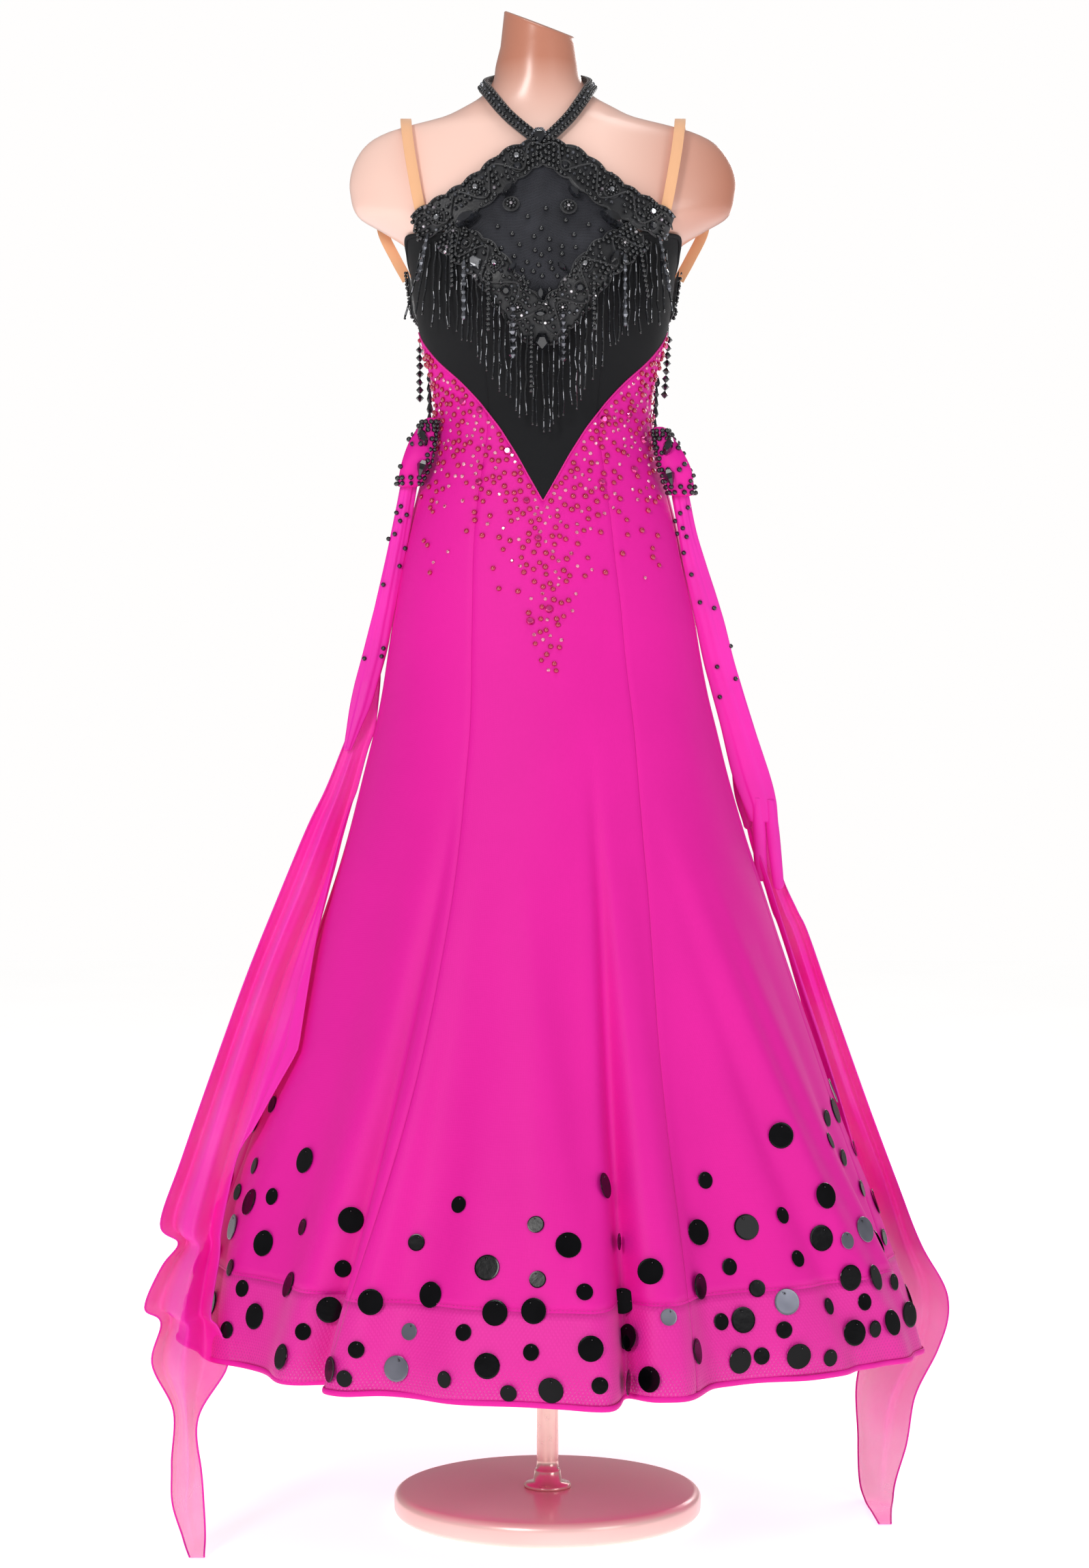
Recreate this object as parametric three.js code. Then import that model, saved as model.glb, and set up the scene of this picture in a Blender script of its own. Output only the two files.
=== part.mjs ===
// Ballroom dance dress on an armless dress form with a round stand.
// Millimetres, +Z up. The origin is the middle of the stand's base, on the floor. The dress faces -Y,
// and +X is the right as seen from the front. Angles go round the body in degrees: 0 is the front,
// 90 is +X, 180 is the back.
import * as THREE from 'three';

// ---------------------------------------------------------------- driving sizes
const CLOTH = 1.6; // wall of the dress cloth
const MESH_CLOTH = 1.2; // wall of the yoke and the floats
const EASE = 5; // from the form's surface to the outer face of the bodice
const SEAM_GAP = 0.5; // clear width of an upright seam
const EDGE_GAP = 0.9; // clear height between pieces joined one above the other
const LAYER_GAP = 2; // clear space between a panel and what is sewn on it
const APPLIQUE = 3; // cord and beads on net
const FRINGE = 3; // bugle strands
const FRINGE_OUT = 6.5; // from the bodice to the fringe's outer face

const BASE_RADIUS = 170;
const BASE_HEIGHT = 28;
const BASE_EDGE = 9; // rounding of the base's rim
const POLE_RADIUS = 12;
const TOUCH = 0.3; // gap between hard pieces that stand on each other

const HEM_Z = 200;
const HEM_SEAM_Z = 290; // top of the stiffened hem band
const SEAM_TOP_Z = 1100; // seams run straight up the body above this height

// ---------------------------------------------------------------- tables
// the form's sections: height, middle, half width, depth before and behind the middle
const FORM = [
  { z: 925, x: -5, half: 42, front: 28, back: 32 },
  { z: 933, x: -5, half: 88, front: 58, back: 68 },
  { z: 950, x: -5, half: 120, front: 78, back: 90 },
  { z: 985, x: -5, half: 139, front: 91, back: 105 },
  { z: 1030, x: -5, half: 144, front: 95, back: 110 },
  { z: 1080, x: -5, half: 139, front: 91, back: 104 },
  { z: 1130, x: -5, half: 128, front: 84, back: 93 },
  { z: 1180, x: -5, half: 117, front: 79, back: 80 },
  { z: 1220, x: -5, half: 114, front: 80, back: 75 },
  { z: 1260, x: -5, half: 121, front: 87, back: 79 },
  { z: 1300, x: -5, half: 131, front: 96, back: 86 },
  { z: 1345, x: -5, half: 138, front: 102, back: 92 },
  { z: 1380, x: -5, half: 143, front: 100, back: 95 },
  { z: 1400, x: -5, half: 152, front: 96, back: 96 },
  { z: 1417, x: -5, half: 178, front: 91, back: 95 },
  { z: 1433, x: -5, half: 204, front: 86, back: 92 },
  { z: 1460, x: -5, half: 213, front: 79, back: 87 },
  { z: 1480, x: -5, half: 212, front: 73, back: 83 },
  { z: 1500, x: -6, half: 203, front: 66, back: 79 },
  { z: 1515, x: -7, half: 189, front: 60, back: 74 },
  { z: 1525, x: -8, half: 169, front: 56, back: 71 },
  { z: 1532, x: -9, half: 144, front: 54, back: 68 },
  { z: 1541, x: -10, half: 108, front: 52, back: 63 },
  { z: 1552, x: -10, half: 84, front: 51, back: 58 },
  { z: 1564, x: -11, half: 63, front: 51, back: 54 },
  { z: 1580, x: -11, half: 50, front: 51, back: 49 },
  { z: 1600, x: -11, half: 46, front: 50, back: 45 },
  { z: 1620, x: -10, half: 42, front: 48, back: 42 },
];
// the neck's slanted cut: its section, its slopes to the right and to the back, its rounded rim
const NECK_TOP = { z: 1646, x: -9, half: 39, front: 46, back: 40, right: 0.38, back_up: 0.24, round: 3 };
const BUST = { out: 15, x: 60, spread: 45, z: 1348, rise: 46 };

// the skirt's sections below the waist, at the outer face
const SKIRT = [
  { z: 200, x: 0, half: 403, front: 386, back: 390 },
  { z: 235, x: 0, half: 396, front: 384, back: 388 },
  { z: 310, x: 0, half: 371, front: 363, back: 366 },
  { z: 420, x: 0, half: 330, front: 323, back: 326 },
  { z: 540, x: 0, half: 288, front: 279, back: 283 },
  { z: 635, x: 0, half: 257, front: 243, back: 249 },
  { z: 695, x: 0, half: 237, front: 221, back: 228 },
  { z: 745, x: -1, half: 221, front: 202, back: 211 },
  { z: 811, x: -2, half: 203, front: 178, back: 190 },
  { z: 867, x: -2, half: 189, front: 158, back: 171 },
  { z: 907, x: -3, half: 180, front: 144, back: 157 },
  { z: 954, x: -4, half: 172, front: 129, back: 143 },
  { z: 1000, x: -4, half: 165, front: 117, back: 131 },
  { z: 1045, x: -5, half: 157, front: 108, back: 122 },
  { z: 1090, x: -5, half: 148, front: 100, back: 113 },
  { z: 1130, x: -5, half: 138, front: 93, back: 103 },
  { z: 1180, x: -5, half: 124, front: 86, back: 88 },
];

// the skirt's main folds: angle at the hem and where the fold starts, height where it starts,
// how far it stands out (or in) at the hem, and its half width before and after its middle
const FOLDS = [
  { hem: -160, rise: -158, top: 880, out: 26, before: 9, after: 8 },
  { hem: -140, rise: -146, top: 900, out: -30, before: 8, after: 10 },
  { hem: -118, rise: -116, top: 860, out: 24, before: 8, after: 9 },
  { hem: -97, rise: -100, top: 840, out: -16, before: 8, after: 7 },
  { hem: -53, rise: -50, top: 900, out: -27, before: 15, after: 11 },
  { hem: -36, rise: -27, top: 800, out: -13, before: 2.5, after: 1.6 },
  { hem: -23, rise: -17, top: 740, out: -15, before: 7, after: 9 },
  { hem: 8, rise: -8, top: 760, out: 36, before: 12, after: 5 },
  { hem: 12, rise: 14.6, top: 850, out: -44, before: 2.4, after: 2.2 },
  { hem: 34, rise: 27, top: 900, out: -47, before: 13, after: 14 },
  { hem: 68, rise: 37, top: 840, out: 9, before: 6, after: 8 },
  { hem: 99, rise: 102, top: 860, out: -20, before: 8, after: 8 },
  { hem: 119, rise: 117, top: 880, out: 26, before: 9, after: 8 },
  { hem: 139, rise: 144, top: 900, out: -32, before: 9, after: 8 },
  { hem: 160, rise: 158, top: 860, out: 24, before: 8, after: 8 },
  { hem: 180, rise: 180, top: 880, out: -22, before: 7, after: 7 },
];
const FOLD_GROWTH = 1.15; // how a fold deepens on its way down

// the upright seams: angle above SEAM_TOP_Z, at mid skirt and at the hem
const SEAMS = {
  front_left: [
    { z: 1100, angle: -30 }, { z: 830, angle: -25 }, { z: 540, angle: -26 }, { z: 200, angle: -34 },
  ],
  front_right: [
    { z: 1100, angle: 30 }, { z: 830, angle: 30 }, { z: 540, angle: 25.5 }, { z: 200, angle: 22.5 },
  ],
  side_left: [{ z: 1100, angle: -78 }, { z: 200, angle: -80 }],
  side_right: [{ z: 1100, angle: 78 }, { z: 200, angle: 80 }],
  back_left: [{ z: 1100, angle: -126 }, { z: 200, angle: -128 }],
  back_right: [{ z: 1100, angle: 126 }, { z: 200, angle: 128 }],
  centre_left: [{ z: 1100, angle: -180 }, { z: 200, angle: -180 }],
  centre_right: [{ z: 1100, angle: 180 }, { z: 200, angle: 180 }],
};
// the panels of the skirt, each with its seams and the angles of its columns where it meets the bodice
const GORES = [
  { name: 'front_centre', from: 'front_left', to: 'front_right',
    columns: [-30, -24, -18, -12, -6, 0, 5, 9, 12, 14, 16, 18, 20, 24, 30] },
  { name: 'front_left', from: 'side_left', to: 'front_left',
    columns: [-78, -72, -66, -60, -54, -48, -42, -36, -30] },
  { name: 'front_right', from: 'front_right', to: 'side_right',
    columns: [30, 36, 42, 48, 54, 60, 66, 72, 78] },
  { name: 'side_left', from: 'back_left', to: 'side_left',
    columns: [-126, -120, -114, -108, -102, -96, -90, -84, -78] },
  { name: 'side_right', from: 'side_right', to: 'back_right',
    columns: [78, 84, 90, 96, 102, 108, 114, 120, 126] },
  { name: 'back_left', from: 'centre_left', to: 'back_left',
    columns: [-180, -174, -168, -162, -156, -150, -144, -138, -132, -126] },
  { name: 'back_right', from: 'back_right', to: 'centre_right',
    columns: [126, 132, 138, 144, 150, 156, 162, 168, 174, 180] },
];
// the black bodice, between the same seams and the sides
const BODICE = [
  { name: 'centre', columns: [-30, -24, -18, -12, -6, 0, 6, 12, 18, 24, 30] },
  { name: 'left', columns: [-90, -84, -78, -72, -66, -60, -54, -48, -42, -36, -30] },
  { name: 'right', columns: [30, 36, 42, 48, 54, 60, 66, 72, 78, 84, 90] },
  { name: 'back',
    columns: [90, 99, 108, 117, 126, 138, 150, 162, 174, 186, 198, 210, 222, 234, 243, 252, 261, 270] },
];
// heights of the bodice's lower (pointed) edge and of its upper edge, by angle from the front
const LOWER_EDGE = [
  { angle: 0, z: 1112 }, { angle: 6, z: 1137 }, { angle: 12, z: 1160 }, { angle: 18, z: 1179 },
  { angle: 24, z: 1196 }, { angle: 36, z: 1223 }, { angle: 48, z: 1246 }, { angle: 63, z: 1268 },
  { angle: 78, z: 1291 }, { angle: 90, z: 1306 }, { angle: 120, z: 1296 }, { angle: 150, z: 1272 },
  { angle: 180, z: 1250 },
];
const UPPER_EDGE = [
  { angle: 0, z: 1292 }, { angle: 6, z: 1301 }, { angle: 12, z: 1314 }, { angle: 18, z: 1334 },
  { angle: 24, z: 1358 }, { angle: 30, z: 1367 }, { angle: 40, z: 1400 }, { angle: 54, z: 1404 },
  { angle: 66, z: 1404 }, { angle: 78, z: 1395 }, { angle: 90, z: 1378 }, { angle: 108, z: 1360 },
  { angle: 140, z: 1330 }, { angle: 180, z: 1312 },
];
// the sheer yoke: angle of a column at its lower edge, and where that column ends at the top
const YOKE = [
  { angle: 0, x: 0, z: 1484 }, { angle: 6, x: 10, z: 1484 }, { angle: 12, x: 25, z: 1476 },
  { angle: 18, x: 43, z: 1463 }, { angle: 24, x: 63, z: 1450 }, { angle: 30, x: 84, z: 1436 },
  { angle: 36, x: 102, z: 1425 },
];
// the middle line of the scalloped trim on the yoke's upper edges, and its width
const UPPER_TRIM = [
  { x: 10, z: 1488, wide: 26 }, { x: 32, z: 1476, wide: 30 }, { x: 58, z: 1455, wide: 30 },
  { x: 84, z: 1436, wide: 30 }, { x: 112, z: 1422, wide: 28 }, { x: 137, z: 1412, wide: 23 },
];
// the garland on the yoke's lower edge
const LOWER_TRIM = [
  { x: 0, z: 1303, wide: 40 }, { x: 22, z: 1318, wide: 34 }, { x: 40, z: 1338, wide: 32 },
  { x: 57, z: 1362, wide: 32 }, { x: 76, z: 1380, wide: 32 }, { x: 92, z: 1396, wide: 22 },
];
// the fringe's reach: where it starts and ends, by distance from the middle
const FRINGE_REACH = [
  { x: 0, top: 1279, low: 1187 }, { x: 16, top: 1282, low: 1203 }, { x: 35, top: 1298, low: 1220 },
  { x: 55, top: 1328, low: 1250 }, { x: 72, top: 1347, low: 1276 }, { x: 92, top: 1370, low: 1296 },
  { x: 112, top: 1388, low: 1308 }, { x: 134, top: 1382, low: 1322 },
];
// the neckband's path round the neck, by angle and height
const NECKBAND = [
  { angle: 4, z: 1506 }, { angle: 9, z: 1522 }, { angle: 20, z: 1541 }, { angle: 38, z: 1556 },
  { angle: 84, z: 1573 }, { angle: 125, z: 1589 }, { angle: 155, z: 1600 }, { angle: 180, z: 1604 },
];
const NECKBAND_WIDTH = 12.5;
const NECKBAND_OUT = 6;
// the elastic straps: from the bodice's front edge over the shoulder to its side back
const STRAP = [
  { x: 133, y: -71, z: 1430 }, { x: 138, y: -70, z: 1455 }, { x: 145, y: -59, z: 1495 },
  { x: 149, y: -41, z: 1524 }, { x: 151, y: -10, z: 1538 }, { x: 152, y: 22, z: 1535 },
  { x: 157, y: 49, z: 1517 }, { x: 168, y: 62, z: 1484 }, { x: 179, y: 57, z: 1448 },
  { x: 179, y: 46, z: 1424 }, { x: 164, y: 35, z: 1392 }, { x: 151, y: 29, z: 1368 },
];
const STRAP_WIDTH = 12;
const STRAP_THICK = 1.5;
const STRAP_STRETCHES = 22;
// a hung glove, rolled flat: middle line, width, thickness, and the turn of its flat side
const GLOVES = {
  left: [
    { x: -157, y: -12, z: 1133, wide: 18, thick: 12 }, { x: -166, y: -8, z: 1085, wide: 19, thick: 11 },
    { x: -173, y: -6, z: 1050, wide: 19, thick: 10 }, { x: -184, y: -4, z: 995, wide: 21, thick: 10 },
    { x: -192, y: -4, z: 950, wide: 23, thick: 10 }, { x: -202, y: -6, z: 900, wide: 27, thick: 10 },
    { x: -217, y: -10, z: 844, wide: 32, thick: 10 },
  ],
  right: [
    { x: 149, y: -12, z: 1123, wide: 18, thick: 12 }, { x: 156, y: -9, z: 1085, wide: 19, thick: 11 },
    { x: 164, y: -8, z: 1050, wide: 23, thick: 10 }, { x: 179, y: -4, z: 995, wide: 28, thick: 10 },
    { x: 192, y: 0, z: 935, wide: 31, thick: 10 }, { x: 210, y: 2, z: 874, wide: 34, thick: 10 },
    { x: 224, y: 4, z: 814, wide: 42, thick: 10 }, { x: 230, y: 6, z: 784, wide: 40, thick: 10 },
    { x: 242, y: 10, z: 740, wide: 32, thick: 9 }, { x: 250, y: 12, z: 702, wide: 18, thick: 8 },
  ],
};
// the beaded cuffs at the top of the gloves
const CUFFS = {
  left: [
    { x: -127, y: -42, z: 1206, wide: 14, thick: 9 }, { x: -136, y: -41, z: 1186, wide: 26, thick: 12 },
    { x: -143, y: -46, z: 1160, wide: 32, thick: 13 }, { x: -152, y: -35, z: 1134, wide: 26, thick: 13 },
  ],
  right: [
    { x: 122, y: -42, z: 1196, wide: 14, thick: 9 }, { x: 131, y: -44, z: 1176, wide: 26, thick: 12 },
    { x: 140, y: -47, z: 1150, wide: 34, thick: 13 }, { x: 147, y: -36, z: 1124, wide: 28, thick: 13 },
  ],
};
// the chiffon floats, from the top down: outer and inner edge, distance before or behind the side,
// how much further back the outer edge lies than the inner one, and depth of the waves; each tail
// ends on the floor
const FLOATS = {
  left: [
    { z: 842.5, outer: -240, inner: -212, y: -12, lean: 0, wave: 3 },
    { z: 760, outer: -272, inner: -232, y: -16, lean: 0, wave: 9 },
    { z: 690, outer: -295, inner: -252, y: -22, lean: 0, wave: 12 },
    { z: 600, outer: -329, inner: -281, y: -34, lean: 6, wave: 14 },
    { z: 500, outer: -364, inner: -312, y: -52, lean: 12, wave: 16 },
    { z: 400, outer: -400, inner: -338, y: -80, lean: 20, wave: 18 },
    { z: 310, outer: -414, inner: -352, y: -120, lean: 30, wave: 20 },
    { z: 240, outer: -420, inner: -352, y: -156, lean: 40, wave: 20 },
    { z: 180, outer: -416, inner: -352, y: -170, lean: 40, wave: 18 },
    { z: 120, outer: -392, inner: -360, y: -176, lean: 20, wave: 10 },
    { z: 60, outer: -396, inner: -362, y: -178, lean: 10, wave: 6 },
    { z: 16, outer: -384, inner: -362, y: -184, lean: 0, wave: 2 },
    { z: 2, outer: -374, inner: -360, y: -206, lean: 0, wave: 0 },
  ],
  right: [
    { z: 700.5, outer: 272, inner: 246, y: 14, lean: 0, wave: 3 },
    { z: 640, outer: 292, inner: 262, y: 30, lean: -8, wave: 8 },
    { z: 560, outer: 318, inner: 288, y: 40, lean: -16, wave: 10 },
    { z: 460, outer: 354, inner: 320, y: 56, lean: -30, wave: 12 },
    { z: 370, outer: 388, inner: 356, y: 76, lean: -60, wave: 12 },
    { z: 290, outer: 418, inner: 376, y: 94, lean: -116, wave: 12 },
    { z: 230, outer: 446, inner: 387, y: 108, lean: -136, wave: 12 },
    { z: 170, outer: 442, inner: 378, y: 106, lean: -126, wave: 12 },
    { z: 110, outer: 412, inner: 356, y: 92, lean: -80, wave: 9 },
    { z: 55, outer: 400, inner: 354, y: 80, lean: -50, wave: 6 },
    { z: 16, outer: 392, inner: 356, y: 66, lean: -24, wave: 3 },
    { z: 2, outer: 386, inner: 358, y: 36, lean: -8, wave: 0 },
    { z: 2, outer: 380, inner: 360, y: -10, lean: 0, wave: 0 },
    { z: 2, outer: 374, inner: 362, y: -64, lean: 0, wave: 0 },
  ],
};
const FLOAT_WAVES = 1.5;
// the loose bead strands at the side backs
const STRANDS = {
  left: [{ x: -140, y: 30, z: 1291 }, { x: -141, y: 31, z: 1250 }, { x: -139, y: 33, z: 1205 }],
  right: [{ x: 133, y: 30, z: 1300 }, { x: 134, y: 31, z: 1255 }, { x: 132, y: 33, z: 1208 }],
};
const STRAND_RADIUS = 3.5;
const PIPING_RADIUS = 1.1;
const JEWEL = { wide: 16, high: 24, deep: 6, z: 1506 };
const SIDE_TRIM = { from: 93, to: 112, high: 46, columns: 4 };

// ---------------------------------------------------------------- helpers
const radians = THREE.MathUtils.degToRad;
const degrees = THREE.MathUtils.radToDeg;
const lerp = THREE.MathUtils.lerp;

// every column of a table at a height (or angle), by a smooth curve through its rows
function sample(rows, key, at) {
  const up = rows[0][key] < rows[rows.length - 1][key];
  const list = up ? rows : [...rows].reverse();
  const clamped = Math.min(Math.max(at, list[0][key]), list[list.length - 1][key]);
  let i = 0;
  while (i < list.length - 2 && list[i + 1][key] < clamped) i += 1;
  const [p, q] = [list[i], list[i + 1]];
  const span = q[key] - p[key];
  const t = (clamped - p[key]) / span;
  const before = list[i - 1];
  const after = list[i + 2];
  const result = {};
  for (const column of Object.keys(p)) {
    const rise = q[column] - p[column];
    const slopeP = before ? (span * (q[column] - before[column])) / (q[key] - before[key]) : rise;
    const slopeQ = after ? (span * (after[column] - p[column])) / (after[key] - p[key]) : rise;
    const a = t * t * (3 - 2 * t);
    const b = t * (1 - t) * (1 - t);
    const c = t * t * (t - 1);
    result[column] = p[column] + rise * a + slopeP * b + slopeQ * c;
  }
  return result;
}

const bump = (distance, spread) => Math.exp(-((distance / spread) ** 2));

function sectionPoint(section, angle, z) {
  const a = radians(angle);
  const depth = Math.cos(a) > 0 ? section.front : section.back;
  return new THREE.Vector3(section.x + section.half * Math.sin(a), -depth * Math.cos(a), z);
}

// the bust's two soft rises, out of the front
function addBust(point, middle) {
  if (point.y > 0) return point;
  const left = bump(point.x - middle + BUST.x, BUST.spread);
  const right = bump(point.x - middle - BUST.x, BUST.spread);
  const front = Math.min(1, -point.y / BUST.spread);
  point.y -= BUST.out * (left + right) * bump(point.z - BUST.z, BUST.rise) * front;
  return point;
}

function formFace(angle, z) {
  const section = sample(FORM, 'z', z);
  return addBust(sectionPoint(section, angle, z), section.x);
}

// how far the folds move the skirt's face out at an angle and height
function foldDepth(angle, z) {
  let depth = 0;
  for (const fold of FOLDS) {
    const down = (fold.top - z) / (fold.top - HEM_Z);
    if (down <= 0) continue;
    const centre = lerp(fold.rise, fold.hem, down);
    let away = angle - centre;
    away -= 360 * Math.round(away / 360);
    const spread = away < 0 ? fold.before : fold.after;
    depth += fold.out * down ** FOLD_GROWTH * bump(away, spread);
  }
  return depth;
}

const WAIST_Z = 1220;
const SKIRT_TO_WAIST = [...SKIRT, easedSection(WAIST_Z)];

function easedSection(z) {
  const section = sample(FORM, 'z', z);
  const { x, half, front, back } = section;
  return { z, x, half: half + EASE, front: front + EASE, back: back + EASE };
}

// the dress's outer face
function dressFace(angle, z) {
  const section = z < WAIST_Z ? sample(SKIRT_TO_WAIST, 'z', z) : easedSection(z);
  const point = addBust(sectionPoint(section, angle, z), section.x);
  const radius = Math.hypot(point.x - section.x, point.y);
  const factor = (radius + foldDepth(angle, z)) / radius;
  return new THREE.Vector3(section.x + (point.x - section.x) * factor, point.y * factor, z);
}

// a point on a face, moved out along the face's normal
function movedOut(face, angle, z, out) {
  const step = 0.5;
  const across = face(angle + step, z).sub(face(angle - step, z));
  const up = face(angle, z + step).sub(face(angle, z - step));
  return face(angle, z).add(across.cross(up).normalize().multiplyScalar(out));
}

// the angle at which a face's front reaches a distance from the middle
function angleAt(x, z) {
  const section = z < WAIST_Z ? sample(SKIRT_TO_WAIST, 'z', z) : easedSection(z);
  return degrees(Math.asin(THREE.MathUtils.clamp((x - section.x) / section.half, -1, 1)));
}

const onChest = (x, z, out) => movedOut(dressFace, angleAt(x, z), z, out);
const steps = (count) => Array.from({ length: count + 1 }, (_, i) => i / count);
const flipped = (rows) => rows.map((row) => ({ ...row, x: -row.x })).reverse();
const mirrored = (rows) => [...flipped(rows.filter((row) => row.x > 0)), ...rows];

function solid(positions, index) {
  const geometry = new THREE.BufferGeometry();
  geometry.setAttribute('position', new THREE.Float32BufferAttribute(positions, 3));
  geometry.setIndex(index);
  geometry.computeVertexNormals();
  return geometry;
}

// a wall of cloth: face(u, v) is its outer face, u to the right and v up, seen from outside
function wall(us, vs, face, thick) {
  const nudge = 1e-3;
  const positions = [];
  for (const inside of [0, 1]) {
    for (const v of vs) {
      for (const u of us) {
        const across = face(u + nudge, v).sub(face(u - nudge, v));
        const up = face(u, v + nudge).sub(face(u, v - nudge));
        const point = face(u, v).add(across.cross(up).normalize().multiplyScalar(-thick * inside));
        positions.push(point.x, point.y, point.z);
      }
    }
  }
  const [wide, high] = [us.length, vs.length];
  const at = (i, j, inside) => inside * wide * high + j * wide + i;
  const index = [];
  const quad = (a, b, c, d) => index.push(a, b, c, a, c, d);
  for (let j = 0; j < high - 1; j += 1) {
    for (let i = 0; i < wide - 1; i += 1) {
      quad(at(i, j, 0), at(i + 1, j, 0), at(i + 1, j + 1, 0), at(i, j + 1, 0));
      quad(at(i, j, 1), at(i, j + 1, 1), at(i + 1, j + 1, 1), at(i + 1, j, 1));
    }
    quad(at(0, j, 0), at(0, j + 1, 0), at(0, j + 1, 1), at(0, j, 1));
    quad(at(wide - 1, j, 0), at(wide - 1, j, 1), at(wide - 1, j + 1, 1), at(wide - 1, j + 1, 0));
  }
  for (let i = 0; i < wide - 1; i += 1) {
    quad(at(i, 0, 0), at(i, 0, 1), at(i + 1, 0, 1), at(i + 1, 0, 0));
    quad(at(i, high - 1, 0), at(i + 1, high - 1, 0), at(i + 1, high - 1, 1), at(i, high - 1, 1));
  }
  return solid(positions, index);
}

// a closed body through rings of points, each ring going round to the right as seen from above
function loft(rings) {
  const size = rings[0].length;
  const positions = rings.flat().flatMap((point) => point.toArray());
  const index = [];
  for (let j = 0; j < rings.length - 1; j += 1) {
    for (let i = 0; i < size; i += 1) {
      const [a, b] = [j * size + i, j * size + ((i + 1) % size)];
      index.push(a, b, b + size, a, b + size, a + size);
    }
  }
  const last = (rings.length - 1) * size;
  for (const [first, bottom] of [[0, true], [last, false]]) {
    const middle = new THREE.Vector3();
    for (const point of rings[first / size]) middle.addScaledVector(point, 1 / size);
    const hub = positions.length / 3;
    positions.push(...middle.toArray());
    for (let i = 0; i < size; i += 1) {
      const [a, b] = [first + i, first + ((i + 1) % size)];
      index.push(...(bottom ? [hub, b, a] : [hub, a, b]));
    }
  }
  return solid(positions, index);
}

// a flat ribbon along points, each with its outward normal
function ribbon(points, normals, wide, thick) {
  const rings = points.map((point, i) => {
    const before = points[Math.max(0, i - 1)];
    const after = points[Math.min(points.length - 1, i + 1)];
    const along = after.clone().sub(before).normalize();
    const side = along.clone().cross(normals[i]).normalize();
    const out = side.clone().cross(along).normalize();
    const half = side.clone().multiplyScalar(wide / 2);
    const face = point.clone().addScaledVector(out, thick);
    return [point.clone().sub(half), face.clone().sub(half), face.clone().add(half), point.clone().add(half)];
  });
  return loft(rings);
}

// a round tube along a curve
function tube(curve, radius, stretches, sides) {
  const outline = new THREE.Shape(steps(sides).slice(0, -1).map(
    (t) => new THREE.Vector2(radius * Math.cos(2 * Math.PI * t), radius * Math.sin(2 * Math.PI * t)),
  ));
  return new THREE.ExtrudeGeometry(outline, { steps: stretches, extrudePath: curve, bevelEnabled: false });
}

const COLOURS = {
  form: { color: 0xf0bfa8, roughness: 0.3, metalness: 0 },
  plated: { color: 0xd79a86, roughness: 0.15, metalness: 1 },
  magenta: { color: 0xe22aa4, roughness: 0.7, metalness: 0 },
  chiffon: { color: 0xf03cb4, roughness: 0.8, metalness: 0 },
  black: { color: 0x1d1e21, roughness: 0.6, metalness: 0 },
  sheer: { color: 0x3c3d42, roughness: 0.7, metalness: 0 },
  beads: { color: 0x121315, roughness: 0.15, metalness: 0.2 },
  elastic: { color: 0xeab37c, roughness: 0.8, metalness: 0 },
};

const group = new THREE.Group();

function add(name, geometry, colour) {
  const mesh = new THREE.Mesh(geometry, new THREE.MeshStandardMaterial(COLOURS[colour]));
  mesh.name = name;
  group.add(mesh);
  return mesh;
}

// ---------------------------------------------------------------- the stand and the form
function makeStand() {
  const rim = steps(4).map((t) => {
    const a = -Math.PI / 2 + Math.PI * t;
    const middle = t < 0.5 ? BASE_EDGE : BASE_HEIGHT - BASE_EDGE;
    const reach = BASE_RADIUS - BASE_EDGE;
    return new THREE.Vector2(reach + BASE_EDGE * Math.cos(a), middle + BASE_EDGE * Math.sin(a));
  });
  const outline = [new THREE.Vector2(0, 0), ...rim, new THREE.Vector2(0, BASE_HEIGHT)];
  const base = add('stand_base', new THREE.LatheGeometry(outline, 40), 'plated');
  base.rotation.x = Math.PI / 2;
  const foot = BASE_HEIGHT + TOUCH;
  const height = FORM[0].z - TOUCH - foot;
  const pole = add('stand_pole', new THREE.CylinderGeometry(POLE_RADIUS, POLE_RADIUS, height, 24), 'plated');
  pole.rotation.x = Math.PI / 2;
  pole.position.z = foot + height / 2;
}

function makeForm() {
  const round = steps(28).slice(0, -1).map((t) => 360 * t);
  const heights = FORM.map((row) => row.z);
  const rings = heights.map((z) => round.map((angle) => formFace(angle, z)));
  const slant = (point, drop) => {
    const rise = NECK_TOP.back_up * point.y - NECK_TOP.right * (point.x - NECK_TOP.x);
    point.z = NECK_TOP.z + rise - drop;
    return point;
  };
  rings.push(round.map((angle) => slant(sectionPoint(NECK_TOP, angle, 0), NECK_TOP.round)));
  const top = {
    ...NECK_TOP,
    half: NECK_TOP.half - NECK_TOP.round,
    front: NECK_TOP.front - NECK_TOP.round,
    back: NECK_TOP.back - NECK_TOP.round,
  };
  rings.push(round.map((angle) => slant(sectionPoint(top, angle, 0), 0)));
  add('form_torso', loft(rings), 'form');
}

// ---------------------------------------------------------------- the skirt and its hem band
function seamAngle(seam, z) {
  return sample(SEAMS[seam], 'z', Math.min(z, SEAM_TOP_Z)).angle;
}

// an angle in a gore: part of the way between its seams at that height, short of them by the gap
function goreAngle(gore, part, z) {
  const gap = degrees(SEAM_GAP / 2 / Math.abs(dressFace(0, z).y));
  return lerp(seamAngle(gore.from, z) + gap, seamAngle(gore.to, z) - gap, part);
}

function edgeHeight(rows, angle) {
  const away = Math.abs(angle - 360 * Math.round(angle / 360));
  return sample(rows, 'angle', away).z;
}

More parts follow.
